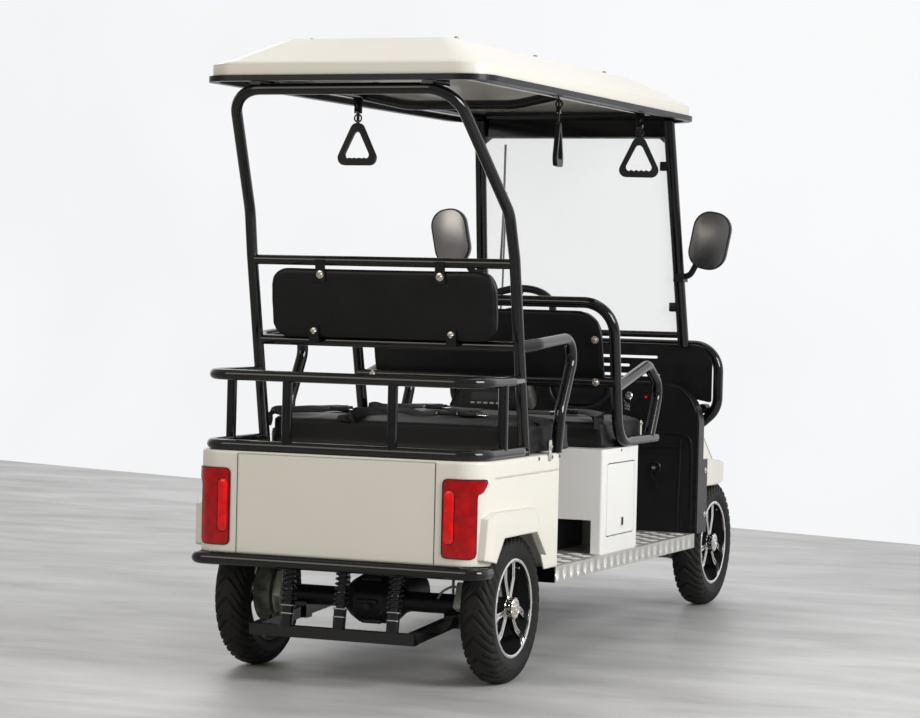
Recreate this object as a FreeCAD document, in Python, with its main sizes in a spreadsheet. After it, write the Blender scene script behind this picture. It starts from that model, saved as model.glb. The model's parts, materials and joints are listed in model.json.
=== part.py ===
"""Four-seat electric golf cart: parametric model, millimetres, +Y forward, +X right, +Z up.

Everything bolted to the chassis is drawn level, with y counted forward from the rear axle
and z up from the floor, and then pitched nose-down by the rake angle about the rear axle.
Wheels, knuckles, front axle and tie rod stand square to the floor.
"""
import FreeCAD, Part
import math
import os
import re
import Sketcher

Vec = FreeCAD.Vector
X, Y, Z = Vec(1, 0, 0), Vec(0, 1, 0), Vec(0, 0, 1)

# Driving dimensions: (alias, millimetres or degrees)
DIMENSIONS = (
    # stance
    ("rear_axle_y", -1021.4), ("wheelbase", 2083), ("track", 844), ("rake_angle", 1.34),
    ("seat_gap", 0.3), ("running_gap", 0.05),
    # wheels
    ("tyre_rad", 236.5), ("tyre_width", 106), ("rim_rad", 152), ("rim_width", 92),
    ("rim_wall", 4), ("lip_width", 6), ("lip_rise", 5), ("bead_gap", 0.3), ("hub_rad", 34),
    ("hub_reach", 40), ("spindle_rad", 12.5), ("spoke_count", 3), ("spoke_root", 15),
    ("spoke_slot", 4), ("spoke_knee", 92), ("spoke_fork", 52), ("spoke_arm", 14),
    ("spoke_offset", 14), ("spoke_depth", 14),
    # rear body
    ("body_width", 980), ("body_wall", 4), ("body_rear_y", -342), ("body_front_y", 326),
    ("body_sill_z", 344), ("body_hem_z", 393), ("body_top_z", 711), ("body_corner_rad", 82),
    ("body_edge_rad", 8), ("arch_rear_y", -258), ("arch_front_y", 168), ("arch_top_z", 473),
    ("arch_head_rear_y", -193), ("arch_head_front_y", 83),
    ("flare_stand", 18), ("flare_top_z", 555), ("flare_rear_y", -316),
    ("crease_z", 656), ("crease_depth", 2),
    ("panel_width", 670), ("panel_recess", 3), ("panel_gap", 1.5), ("panel_top_z", 703),
    ("light_inner", 92), ("light_low_z", 417), ("light_top_z", 656), ("light_arm_z", 613),
    ("light_stand", 4), ("light_depth", 6),
    ("bumper_rad", 19), ("bumper_drop", 3),
    # floor and chassis
    ("floor_width", 986), ("floor_top_z", 344), ("floor_sheet", 3), ("floor_skirt", 52),
    ("floor_rear_y", 299), ("floor_front_y", 1764), ("rail_spacing", 400), ("rail_width", 40),
    ("rail_depth", 50), ("rail_kick", 60), ("cross_width", 40), ("chassis_rear_y", -322),
    ("chassis_front_y", 2290),
    # seats
    ("seat_base_rear_y", 767), ("seat_base_front_y", 1135), ("seat_base_width", 963),
    ("seat_base_top_z", 699), ("seat_mouth_z", 458), ("seat_wall", 3), ("hinge_pin_rad", 3),
    ("door_rear_y", 810), ("door_front_y", 1095), ("door_low_z", 400), ("door_top_z", 650),
    ("door_gap", 3), ("hinge_in", 10), ("hinge_back", 14), ("lock_y", 967), ("lock_z", 445),
    ("cushion_width", 916), ("cushion_depth", 430), ("cushion_height", 84),
    ("rear_cushion_y", 105), ("front_cushion_y", 845),
    # tubes
    ("hoop_tube_rad", 18), ("rail_tube_rad", 17), ("bar_tube_rad", 16), ("arm_tube_rad", 19),
    ("post_tube_rad", 21),
    ("hoop_x", 456), ("hoop_foot_y", 91), ("hoop_waist_y", -32), ("hoop_waist_z", 1330),
    ("hoop_top_x", 372), ("hoop_top_y", -352), ("hoop_top_z", 1838),
    ("crossbar_low_y", 28), ("crossbar_low_z", 1054), ("crossbar_high_y", -28),
    ("crossbar_high_z", 1313), ("guard_x", 468), ("guard_y", -320), ("guard_z", 948),
    ("upright_x", 179), ("side_upright_y", -131),
    ("rear_arm_x", 485), ("rear_arm_y", 470), ("rear_arm_z", 1084), ("rear_arm_foot_y", 316),
    ("rear_ear_high_x", 208), ("rear_ear_low_x", 239), ("rear_back_half", 390),
    ("seat_hoop_x", 485), ("seat_hoop_rear_y", 925), ("seat_hoop_top_y", 822),
    ("seat_hoop_top_z", 1195), ("seat_rail_front_y", 1315),
    # roof
    ("roof_width", 944), ("roof_rear_y", -368), ("roof_front_y", 1800), ("roof_edge_z", 1880),
    ("roof_skirt", 41), ("roof_rise", 86), ("roof_slope", 185), ("roof_crown", 6),
    ("roof_wall", 5), ("roof_corner_rad", 90), ("roof_nose_rad", 190), ("trim_depth", 18),
    ("trim_stand", 12),
    ("trim_lip", 18), ("roof_rail_x", 366), ("roof_rail_z", 1887), ("roof_bow_y", 600),
    ("roof_bow_dip", 35), ("post_foot_x", 404), ("post_foot_y", 1852), ("post_foot_z", 1035),
    ("post_head_x", 375), ("post_head_y", 1700), ("post_head_z", 1869),
    ("header_low_z", 1802), ("header_wall", 5), ("screen_glass", 5),
    # front end
    ("shield_y", 1760), ("shield_width", 1006), ("shield_top_z", 900), ("shield_wall", 4),
    ("shield_depth", 60), ("shield_arch_rad", 155), ("shield_lug_depth", 112),
    ("nose_front_y", 2335), ("nose_wall", 4), ("fender_x", 503), ("fender_wall", 5),
    ("fender_top_z", 621), ("fender_low_z", 515),
    ("loop_x", 532), ("loop_y", 1885), ("loop_top_z", 1038), ("loop_low_z", 722),
    ("kingpin_x", 338), ("kingpin_rad", 9), ("steer_arm", 110), ("tie_rod_drop", 48),
    ("axle_tube_rad", 32), ("front_bumper_y", 2385), ("swing_x", 280), ("swing_y", -350),
    ("swing_low_z", 142), ("diff_rad", 76), ("handle_width", 142), ("mirror_x", 521),
    ("mirror_y", 1776), ("mirror_z", 1433), ("steer_x", -165), ("steer_y", 1510),
    ("steer_z", 1135), ("steer_tilt", 38), ("steer_rad", 165),
)

doc = FreeCAD.newDocument("GolfCart")
sheet = doc.addObject("Spreadsheet::Sheet", "Dims")
for row, (alias, value) in enumerate(DIMENSIONS, start=1):
    sheet.set("A%d" % row, alias)
    sheet.set("B%d" % row, str(value))
    sheet.setAlias("B%d" % row, alias)
doc.recompute()


def val(expression):
    """The value of an expression written with the sheet's aliases."""
    if isinstance(expression, (int, float)):
        return float(expression)
    return float(sheet.evalExpression(expression))


def bound(expression):
    """The same expression as a document object outside the sheet writes it."""
    if isinstance(expression, (int, float)):
        return str(expression)
    return re.sub(r"\b([a-z][a-z_0-9]*_[a-z_0-9]+|track|wheelbase)\b", r"Dims.\1", expression)


# ---------------------------------------------------------------- sketches and bodies
def origin_plane(body, role):
    return [item for item in body.Origin.OriginFeatures if item.Role == role][0]


def new_body(label):
    body = doc.addObject("PartDesign::Body", label)
    body.Label = label
    return body


def outline(sketch, corners):
    """A closed outline of (x, y) or (x, y, radius) corners, each bound to the sheet."""
    first = sketch.GeometryCount
    count = len(corners)
    at = [Vec(val(c[0]), val(c[1]), 0) for c in corners]
    rad = [val(c[2]) if len(c) > 2 else 0.0 for c in corners]
    cut = []
    for i in range(count):
        before = (at[i - 1] - at[i]).normalize()
        after = (at[(i + 1) % count] - at[i]).normalize()
        half = before.getAngle(after) / 2
        back = rad[i] / math.tan(half) if rad[i] else 0.0
        mid = (before + after)
        if rad[i]:
            centre = at[i] + mid.normalize() * (rad[i] / math.sin(half))
        else:
            centre = None
        cut.append((at[i] + before * back, at[i] + after * back, centre))
    lines = []
    for i in range(count):
        lines.append(sketch.addGeometry(Part.LineSegment(cut[i][1], cut[(i + 1) % count][0])))
    for i in range(count):
        into, away = lines[i - 1], lines[i]
        if not rad[i]:
            sketch.addConstraint(Sketcher.Constraint("Coincident", into, 2, away, 1))
            pin(sketch, away, 1, corners[i])
            continue
        start, stop, centre = cut[i]
        mid = centre + (at[i] - centre).normalize() * rad[i]
        arc = sketch.addGeometry(Part.Arc(start, mid, stop))
        turns_left = (at[i] - at[i - 1]).cross(at[(i + 1) % count] - at[i]).z > 0
        head, tail = (1, 2) if turns_left else (2, 1)
        sketch.addConstraint(Sketcher.Constraint("Tangent", into, 2, arc, head))
        sketch.addConstraint(Sketcher.Constraint("Tangent", arc, tail, away, 1))
        named = sketch.addConstraint(Sketcher.Constraint("Radius", arc, rad[i]))
        if isinstance(corners[i][2], str):
            sketch.setExpression("Constraints[%d]" % named, bound(corners[i][2]))
        point = sketch.addGeometry(Part.Point(at[i]), True)
        sketch.addConstraint(Sketcher.Constraint("PointOnObject", point, 1, into))
        sketch.addConstraint(Sketcher.Constraint("PointOnObject", point, 1, away))
        pin(sketch, point, 1, corners[i])
    return first


def mirror_outline(half):
    """The whole outline from its +x half, listed from one end of the middle line to the other."""
    other = [("-(%s)" % c[0] if isinstance(c[0], str) else -c[0],) + tuple(c[1:])
             for c in reversed(half)]
    return list(half) + other


def pin(sketch, geometry, end, corner):
    """Hold one point at its two coordinates."""
    for kind, where in zip(("DistanceX", "DistanceY"), corner[:2]):
        made = Sketcher.Constraint(kind, -1, 1, geometry, end, val(where))
        index = sketch.addConstraint(made)
        if isinstance(where, str):
            sketch.setExpression("Constraints[%d]" % index, bound(where))


def circle(sketch, x, y, radius):
    index = sketch.addGeometry(Part.Circle(Vec(val(x), val(y), 0), Z, val(radius)))
    pin(sketch, index, 3, (x, y))
    named = sketch.addConstraint(Sketcher.Constraint("Radius", index, val(radius)))
    if isinstance(radius, str):
        sketch.setExpression("Constraints[%d]" % named, bound(radius))


def new_sketch(body, name, role, corners=(), offset=0, circles=(), loops=()):
    """A sketch on one of the body's own origin planes, lifted by offset along its normal."""
    sketch = body.newObject("Sketcher::SketchObject", name)
    sketch.AttachmentSupport = [(origin_plane(body, role), "")]
    sketch.MapMode = "FlatFace"
    if isinstance(offset, str):
        sketch.setExpression("AttachmentOffset.Base.z", bound(offset))
    else:
        sketch.AttachmentOffset = FreeCAD.Placement(Vec(0, 0, offset), FreeCAD.Rotation())
    if corners:
        outline(sketch, corners)
    for loop in loops:
        outline(sketch, loop)
    for x, y, radius in circles:
        circle(sketch, x, y, radius)
    return sketch


def set_size(feature, name, size):
    setattr(feature, name, val(size))
    if isinstance(size, str):
        feature.setExpression(name, bound(size))


def pad(body, name, sketch, length, reverse=False, middle=False):
    feature = body.newObject("PartDesign::Pad", name)
    feature.Profile = sketch
    set_size(feature, "Length", length)
    feature.Reversed = reverse
    feature.SideType = "Symmetric" if middle else "One side"
    return feature


def pocket(body, name, sketch, length, reverse=False, middle=False):
    """A cut that must take material away; a cut into the air is an error."""
    doc.recompute()
    before = body.Shape.Volume
    feature = body.newObject("PartDesign::Pocket", name)
    feature.Profile = sketch
    set_size(feature, "Length", length)
    feature.Reversed = reverse
    feature.SideType = "Symmetric" if middle else "One side"
    doc.recompute()
    if body.Shape.Volume > before - 1:
        raise RuntimeError("%s cuts nothing" % name)
    return feature


def revolve(body, name, sketch, axis="H_Axis"):
    feature = body.newObject("PartDesign::Revolution", name)
    feature.Profile = sketch
    feature.ReferenceAxis = (sketch, [axis])
    feature.Angle = 360
    return feature


def spin_copies(body, name, originals, count, axis_role="X_Axis"):
    feature = body.newObject("PartDesign::PolarPattern", name)
    feature.Originals = originals
    feature.Axis = (origin_plane(body, axis_role), [""])
    feature.Angle = 360
    feature.Occurrences = int(val(count))
    feature.setExpression("Occurrences", bound(count))
    body.Tip = feature
    return feature


def fillet(body, name, base, pick, radius):
    """Round the edges of base whose middle point passes the pick test."""
    doc.recompute()
    names = ["Edge%d" % (i + 1) for i, edge in enumerate(base.Shape.Edges) if pick(edge)]
    feature = body.newObject("PartDesign::Fillet", name)
    feature.Base = (base, names)
    set_size(feature, "Radius", radius)
    return feature


def middle_of(edge):
    return edge.valueAt((edge.FirstParameter + edge.LastParameter) / 2)


# ---------------------------------------------------------------- tubes and plates
def sized(points):
    """Points whose coordinates may be expressions on the sheet."""
    return [tuple(val(c) for c in point) for point in points]


def bent_path(points, bend):
    """Straight runs joined by tangent arcs of one bend radius."""
    at = [Vec(*p) for p in sized(points)]
    edges = []
    here = at[0]
    for i in range(1, len(at) - 1):
        before = (at[i - 1] - at[i]).normalize()
        after = (at[i + 1] - at[i]).normalize()
        half = before.getAngle(after) / 2
        if half > math.radians(89.5):
            continue
        room = 0.49 * min((at[i - 1] - at[i]).Length, (at[i + 1] - at[i]).Length)
        back = min(bend / math.tan(half), room)
        radius = back * math.tan(half)
        start, stop = at[i] + before * back, at[i] + after * back
        centre = at[i] + (before + after).normalize() * (radius / math.sin(half))
        mid = centre + (at[i] - centre).normalize() * radius
        if (start - here).Length > 1e-3:
            edges.append(Part.LineSegment(here, start).toShape())
        edges.append(Part.Arc(start, mid, stop).toShape())
        here = stop
    if (at[-1] - here).Length > 1e-3:
        edges.append(Part.LineSegment(here, at[-1]).toShape())
    return Part.Wire(edges)


def tube(points, radius, bend=60):
    """A round bar or closed tube along a bent path."""
    points = sized(points)
    path = bent_path(points, bend)
    direction = (Vec(*points[1]) - Vec(*points[0])).normalize()
    section = Part.Wire([Part.makeCircle(radius, Vec(*points[0]), direction)])
    return path.makePipeShell([section], True, False)


def across(points):
    """A path from its +x half, listed from its end to the last point before the middle."""
    points = sized(points)
    return points + [(-x, y, z) for x, y, z in reversed(points)]


def box(x0, x1, y0, y1, z0, z1):
    return Part.makeBox(x1 - x0, y1 - y0, z1 - z0, Vec(x0, y0, z0))


def rod(start, stop, radius):
    start, stop = Vec(*start), Vec(*stop)
    return Part.makeCylinder(radius, (stop - start).Length, start, stop - start)


def prism(points, sweep):
    """A flat polygon swept along one direction."""
    ring = [Vec(*p) for p in points]
    return Part.Face(Part.makePolygon(ring + ring[:1])).extrude(Vec(*sweep))


def rounded_plan(half, rear, front, z, rear_radius, front_radius=None):
    """Closed rectangle at one level; its front corners may have their own radius."""
    block = box(-half, half, rear, front, z, z + 1)
    for end, radius in ((rear, rear_radius), (front, front_radius or rear_radius)):
        edges = [e for e in block.Edges if abs(e.tangentAt(e.FirstParameter).z) > 0.9
                 and abs(e.CenterOfMass.y - end) < 0.01]
        block = block.makeFillet(radius, edges)
    face = [f for f in block.Faces if abs(f.CenterOfMass.z - z) < 1e-6][0]
    return face.OuterWire


def mirrored(shape):
    return shape.mirror(Vec(0, 0, 0), X)


def both_sides(shape):
    return [shape, mirrored(shape)]


def fuse(shapes):
    return shapes[0].multiFuse(shapes[1:]).removeSplitter()


def feature(label, shape):
    """A sub-part whose shape comes from Part's own operations."""
    made = doc.addObject("Part::Feature", label)
    made.Label = label
    made.Shape = shape
    return made


def on_chassis(part):
    """Seat a sub-part on the raked chassis."""
    axle = Vec(0, 0, val("tyre_rad"))
    lift = FreeCAD.Placement(axle, FreeCAD.Rotation(X, -val("rake_angle")))
    level = FreeCAD.Placement(axle * -1, FreeCAD.Rotation())
    shift = FreeCAD.Placement(Vec(0, val("rear_axle_y"), 0), FreeCAD.Rotation())
    part.Placement = shift * lift * level * part.Placement
    parts.append(part)
    return part


def on_floor(part, x, y, z, turn=0):
    """Seat a wheel or knuckle, y counted from the rear axle."""
    where = Vec(x, y + val("rear_axle_y"), z)
    part.Placement = FreeCAD.Placement(where, FreeCAD.Rotation(Z, turn))
    parts.append(part)
    return part


parts = []

# ---------------------------------------------------------------- wheels
WHEELS = (  # name, side (+1 right), y expression
    ("rear_left", -1, "0"), ("rear_right", 1, "0"),
    ("front_left", -1, "wheelbase"), ("front_right", 1, "wheelbase"),
)


def make_tyre(label):
    """Road tyre with a rounded crown, drawn about the X axis."""
    body = new_body(label)
    seat, wall = "rim_width / 2 - lip_width", "tyre_width / 2"
    half = ((seat, "rim_rad + bead_gap"), (seat, "rim_rad + lip_rise + bead_gap"),
            (wall, "rim_rad + 30", 20), (wall, "tyre_rad - 24", 14),
            ("tyre_width / 2 - 16", "tyre_rad", 18))
    section = new_sketch(body, label + "_section", "XZ_Plane", mirror_outline(half))
    revolve(body, label + "_turned", section)
    return body


def make_rim(label):
    """Alloy wheel: barrel with two lips, cap and three forked spokes; its outside is +X."""
    body = new_body(label)
    edge, flange = "rim_width / 2", "rim_width / 2 - lip_width + bead_gap"
    half = ((edge, "rim_rad - rim_wall"), (edge, "rim_rad + lip_rise"),
            (flange, "rim_rad + lip_rise"), (flange, "rim_rad"))
    barrel = new_sketch(body, label + "_barrel_section", "XZ_Plane", mirror_outline(half))
    revolve(body, label + "_barrel", barrel)
    tip_out, tip_in = "rim_rad - 7", "rim_rad - 4"
    knee = "spoke_knee"
    fork = new_sketch(body, label + "_spoke_outline", "YZ_Plane", (
        ("-spoke_root", "hub_rad - 8"), ("spoke_root", "hub_rad - 8"),
        ("spoke_fork / 2 + spoke_arm", knee, 8), ("spoke_fork / 2 + spoke_arm", tip_out),
        ("spoke_fork / 2", tip_in), ("spoke_fork / 2", "spoke_knee + 6", 5),
        ("spoke_slot", "hub_rad + 16"), ("-spoke_slot", "hub_rad + 16"),
        ("-spoke_fork / 2", "spoke_knee + 6", 5), ("-spoke_fork / 2", tip_in),
        ("-(spoke_fork / 2 + spoke_arm)", tip_out), ("-(spoke_fork / 2 + spoke_arm)", knee, 8)),
        offset="spoke_offset")
    arm = pad(body, label + "_spoke", fork, "spoke_depth")
    spin_copies(body, label + "_spokes", [arm], "spoke_count")
    hub = new_sketch(body, label + "_hub_section", "XZ_Plane", (
        ("-14", "spindle_rad + running_gap"), ("hub_reach - 6", "spindle_rad + running_gap"),
        ("hub_reach - 6", 0), ("hub_reach + 12", 0), ("hub_reach + 12", "hub_rad - 14", 3),
        ("hub_reach", "hub_rad - 2"), ("hub_reach - 10", "hub_rad - 2"),
        ("spoke_offset + spoke_depth", "hub_rad"), ("-14", "hub_rad")))
    revolve(body, label + "_hub", hub)
    return body


for name, side, station in WHEELS:
    turn = 0 if side > 0 else 180
    where = (side * val("track / 2"), val(station), val("tyre_rad"), turn)
    on_floor(make_tyre("tyre_" + name), *where)
    on_floor(make_rim("rim_" + name), *where)


# ---------------------------------------------------------------- chassis and floor
def make_chassis():
    """Ladder frame: rails that kick up over both axles, cross members and floor outriggers."""
    rail_x, half = val("rail_spacing / 2"), val("rail_width / 2")
    depth, floor = val("rail_depth"), val("floor_top_z - floor_sheet")
    tail, nose, wide = val("body_hem_z + 45"), floor + val("rail_kick"), val("cross_width")
    rear, front = val("chassis_rear_y"), val("chassis_front_y")
    line = (  # y, z of the rail's upper face, from the tail to the nose
        (rear, tail), (200, tail), (270, floor), (1790, floor), (1870, nose), (front, nose))
    upper = [(rail_x - half, y, z) for y, z in line]
    lower = [(rail_x - half, y, z - depth) for y, z in reversed(line)]
    shapes = both_sides(prism(upper + lower, (2 * half, 0, 0)))
    for y, top in ((rear, tail), (60, tail), (1900, nose), (front - wide, nose)):
        shapes.append(box(-rail_x, rail_x, y, y + wide, top - depth, top))
    reach = val("floor_width / 2 - floor_sheet")
    for y, drop in ((val("floor_rear_y"), depth), (700, 40), (1150, 40), (1640, 40)):
        shapes.append(box(-reach, reach, y, y + wide, floor - drop, floor))
    return feature("chassis_frame", fuse(shapes))


def make_floor():
    """Aluminium floor sheet with folded side skirts."""
    body = new_body("floor_plate")
    section = new_sketch(body, "floor_section", "XZ_Plane", mirror_outline((
        ("floor_width / 2 - floor_sheet", "floor_top_z - floor_sheet"),
        ("floor_width / 2 - floor_sheet", "floor_top_z - floor_skirt"),
        ("floor_width / 2", "floor_top_z - floor_skirt"), ("floor_width / 2", "floor_top_z"))),
        offset="-floor_rear_y")
    pad(body, "floor_sheet_bent", section, "floor_front_y - floor_rear_y", reverse=True)
    return body


on_chassis(make_chassis())
on_chassis(make_floor())


# ---------------------------------------------------------------- rear body
ARCH = (  # wheel opening, y and z, from its rear foot to its front foot
    ("arch_rear_y", "body_hem_z + 8"), ("arch_head_rear_y", "arch_top_z"),
    ("arch_head_front_y", "arch_top_z"), ("arch_front_y", "body_hem_z + 1"))


def tub_prism(grow, low, high, corner=0):
    """The tub's plan grown by a margin, between two levels."""
    plan = rounded_plan(val("body_width / 2") + grow, val("body_rear_y") - grow,
                        val("body_front_y"), low, val("body_corner_rad") + grow + corner)
    block = Part.Face(plan).extrude(Vec(0, 0, high - low))
    return block.common(box(-900, 900, -900, 0, low, high))


def make_tub():
    """Moulded rear tub: rounded shell, open below, with trapezoid wheel arches."""
    body = new_body("rear_tub")
    front = "body_front_y"
    plan = new_sketch(body, "tub_plan", "XY_Plane", (
        ("-body_width / 2", "body_rear_y", "body_corner_rad"),
        ("body_width / 2", "body_rear_y", "body_corner_rad"),
        ("body_width / 2", front, 12), ("-body_width / 2", front, 12)), offset="body_sill_z")
    block = pad(body, "tub_block", plan, "body_top_z - body_sill_z")
    top = val("body_top_z") - 1
    fillet(body, "tub_top_edge", block,
           lambda e: middle_of(e).z > top and middle_of(e).y < val("body_front_y") - 15,
           "body_edge_rad")
    inner = new_sketch(body, "tub_hollow_plan", "XY_Plane", (
        ("-(body_width / 2 - body_wall)", "body_rear_y + 2 * body_wall", "body_corner_rad - 8"),
        ("body_width / 2 - body_wall", "body_rear_y + 2 * body_wall", "body_corner_rad - 8"),
        ("body_width / 2 - body_wall", "body_front_y - body_wall", 8),
        ("-(body_width / 2 - body_wall)", "body_front_y - body_wall", 8)),
        offset="body_sill_z")
    pocket(body, "tub_hollow", inner, "body_top_z - body_sill_z - body_wall", reverse=True)
    foot, head, brow, toe = ARCH
    arch = new_sketch(body, "tub_arch_outline", "YZ_Plane", (
        (-450, 300), (-450, "body_hem_z"), ("arch_rear_y - 7", "body_hem_z"), head + (20,),
        brow + (20,), toe, ("arch_front_y + 32", "body_sill_z"), ("arch_front_y + 32", 300)))
    pocket(body, "tub_arches", arch, "body_width + 40", middle=True)
    recess = new_sketch(body, "tub_panel_outline", "XZ_Plane", mirror_outline((
        ("panel_width / 2 + panel_gap", "body_hem_z - 5"),
        ("panel_width / 2 + panel_gap", "panel_top_z + panel_gap"))),
        offset="-body_rear_y - panel_recess")
    pocket(body, "tub_panel_recess", recess, 20, reverse=True)
    return body


def flare_band():
    """The flare's outline seen from the side."""
    outer = (("flare_rear_y", "body_hem_z + 19"), ("flare_rear_y + 9", "flare_top_z - 18"),
             ("flare_rear_y + 51", "flare_top_z"), ("arch_head_front_y - 13", "flare_top_z - 6"))
    ring = [Vec(0, val(y), val(z)) for y, z in outer + ARCH[::-1]]
    return Part.Face(Part.makePolygon(ring + ring[:1]))


def lamp_outline(grow=0):
    """The lamp's outline, square to the corner's diagonal: a tall block with an arm on top."""
    inner, low, top = -val("light_inner"), val("light_low_z"), val("light_top_z")
    arm = val("light_arm_z")
    corners = ((inner, (top + low) / 2), (inner, low), (-3, low), (-2, arm), (18, arm + 8),
               (39, top), (inner, top), (inner, (top + low) / 2))
    corner = Vec(val("body_width / 2 - body_corner_rad"), val("body_rear_y + body_corner_rad"), 0)
    along = Vec(1, 1, 0).normalize()
    places = [corner + along * w + Vec(0, 0, z) for w, z in corners]
    face = Part.Face(bent_path([tuple(p) for p in places], 14))
    face = face.makeOffset2D(grow) if grow else face
    return face.extrude(Vec(1, -1, 0).normalize() * 150)


def make_rear_body():
    """The tub with its hollow wheel flares, side crease and lamp seats."""
    tub = make_tub()
    doc.recompute()
    wall, stand = val("body_wall"), val("flare_stand")
    low, high = val("body_sill_z"), val("flare_top_z") + 20
    band = flare_band()
    flare = band.extrude(Vec(600, 0, 0))
    hollow = band.makeOffset2D(-wall).extrude(Vec(600, 0, 0))
    corner = val("body_front_y") - 10
    skin = (tub_prism(stand, low, high).fuse(
        box(0, val("body_width / 2") + stand, -1, corner, low, high)))
    core = (tub_prism(-wall - 1, low, high).fuse(
        box(0, val("body_width / 2") - wall - 1, -1, corner, low, high)))
    room = (tub_prism(stand - wall, low, high).fuse(
        box(0, val("body_width / 2") + stand - wall, -1, corner, low, high)))
    flare = flare.common(skin).cut(core)
    hollow = hollow.common(room).cut(core)
    shape = tub.Shape.fuse(both_sides(flare)).cut(both_sides(hollow))
    sink = val("light_depth - light_stand")
    seat_floor = tub_prism(-sink, 380, 700)
    seat = lamp_outline(val("seat_gap")).cut(seat_floor)
    half, level, cut = val("body_width / 2"), val("crease_z"), val("crease_depth")
    crease = box(half - cut, half + 9, -238, val("body_front_y") + 9, level - 2, level + 2)
    shape = shape.cut(both_sides(seat) + both_sides(crease))
    return feature("rear_body", shape.removeSplitter())


def make_tail_light(label, side):
    """Wrap-round corner lamp: flat where it seats, with a little air behind its bend."""
    sink = val("light_depth - light_stand")
    outer = tub_prism(val("light_stand"), 390, 690)
    back = tub_prism(-sink, 390, 690, corner=-1)
    lamp = lamp_outline().common(outer).cut(back)
    return feature(label, lamp if side > 0 else mirrored(lamp))


def make_rear_panel():
    """Flat tail panel seated in the tub's recess."""
    body = new_body("rear_panel")
    plate = new_sketch(body, "rear_panel_outline", "XZ_Plane", mirror_outline((
        ("panel_width / 2", "body_hem_z"), ("panel_width / 2", "panel_top_z"))),
        offset="-body_rear_y - panel_recess")
    pad(body, "rear_panel_sheet", plate, "panel_recess")
    return body


def make_bumper():
    """Rear bumper: bent tube round the tail with a flat lip on top and two stays."""
    rad, end = val("bumper_rad"), val("chassis_rear_y")
    side, rear = val("body_width / 2") - 6, val("body_rear_y") - 4
    z = val("body_hem_z - bumper_drop") - rad
    top = val("body_hem_z")
    bar = tube(across([(side, -265, z), (side, rear, z)]), rad, 75)
    lip = box(-side + 60, side - 60, rear - 6, end, z + rad - 4, top)
    x = val("rail_spacing / 2")
    stay = box(x - 15, x + 15, rear, end, z - 5, top)
    return feature("rear_bumper", fuse([bar, lip] + both_sides(stay)))


on_chassis(make_rear_body())
on_chassis(make_rear_panel())
on_chassis(make_bumper())
on_chassis(make_tail_light("tail_light_left", -1))
on_chassis(make_tail_light("tail_light_right", 1))


# ---------------------------------------------------------------- rear frame and seat
def make_backrest(label, half_width, foot, head, thickness):
    """Upholstered board that leans between two points (y, z) of its rear face."""
    along = Vec(0, head[0] - foot[0], head[1] - foot[1])
    board = box(-half_width, half_width, 0, thickness, 0, along.Length)
    edges = [e for e in board.Edges if abs(e.tangentAt(e.FirstParameter).y) > 0.9]
    board = board.makeFillet(38, edges)
    lean = math.degrees(math.atan2(-along.y, along.z))
    board.Placement = FreeCAD.Placement(Vec(0, foot[0], foot[1]), FreeCAD.Rotation(X, lean))
    return feature(label, board)


def ear(x, corners):
    """Flat bent lug, given by its side outline (y, z), that holds one bolt of a backrest."""
    return both_sides(prism([(x - 17, y, z) for y, z in corners], (34, 0, 0)))


def make_rear_hoop():
    """Roof hoop with two crossbars and an armrest loop on each side."""
    rad, deck, arm = val("hoop_tube_rad"), val("body_top_z"), val("arm_tube_rad")
    half_path = [("hoop_x", "hoop_foot_y + 1", deck - 10), ("hoop_x", "hoop_waist_y",
                 "hoop_waist_z"), ("hoop_x - 7", "hoop_waist_y - 35", "hoop_waist_z + 139"),
                 ("hoop_top_x", "hoop_top_y", "hoop_top_z")]
    shapes = [tube(across(half_path), rad, 110)]
    low = (val("crossbar_low_y"), val("crossbar_low_z"))
    high = (val("crossbar_high_y"), val("crossbar_high_z"))
    for y, z in (low, high):
        shapes.append(rod((-val("hoop_x"), y, z), (val("hoop_x"), y, z), val("bar_tube_rad")))
    loop = tube([("hoop_x", low[0], low[1]), ("rear_arm_x", low[0] + 80, low[1] + 8),
                 ("rear_arm_x", "rear_arm_y", "rear_arm_z"),
                 ("rear_arm_x", "rear_arm_foot_y + 12", "rear_arm_z - 240"),
                 ("rear_arm_x - 7", "rear_arm_foot_y", deck - 6)], arm, 62)
    shapes += both_sides(loop)
    y, z = high
    shapes += ear(val("rear_ear_high_x"), ((y, z + 5), (y - 18, z + 3), (y - 10, z - 66),
                                           (y - 4, z - 66), (y - 12, z - 17), (y, z - 13)))
    y, z = low
    shapes += ear(val("rear_ear_low_x"), ((y, z - 7), (y - 41, z - 2), (y - 45, z + 50),
                                          (y - 38, z + 50), (y - 34, z + 12), (y, z + 8)))
    below = box(-600, 600, -600, 600, deck - 60, deck)
    return feature("rear_hoop", fuse(shapes).cut([below, rear_backrest.Shape]))


def make_guard_rail():
    """Luggage guard round the tail: two bent rails joined by uprights."""
    rail, deck = val("rail_tube_rad"), val("body_top_z")
    low, low_x = deck + rail, val("body_width / 2 - rail_tube_rad - 4")
    x, back, top_z = val("guard_x"), val("guard_y"), val("guard_z")
    hoop = val("hoop_x")
    top = tube(across([(hoop, 43, top_z), (x, -60, top_z), (x, back, top_z)]), rail, 90)
    bottom = tube(across([(hoop, 87, low), (low_x, 20, low), (low_x, back, low)]), rail, 80)
    px, side_y = val("upright_x"), val("side_upright_y")
    bar = val("bar_tube_rad")
    shapes = [top, bottom] + both_sides(rod((px, back, low), (px, back, top_z), bar))
    shapes += both_sides(rod((low_x, side_y, low), (x, side_y, top_z), bar))
    return feature("guard_rail", fuse(shapes).cut(rear_hoop.Shape))


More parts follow.
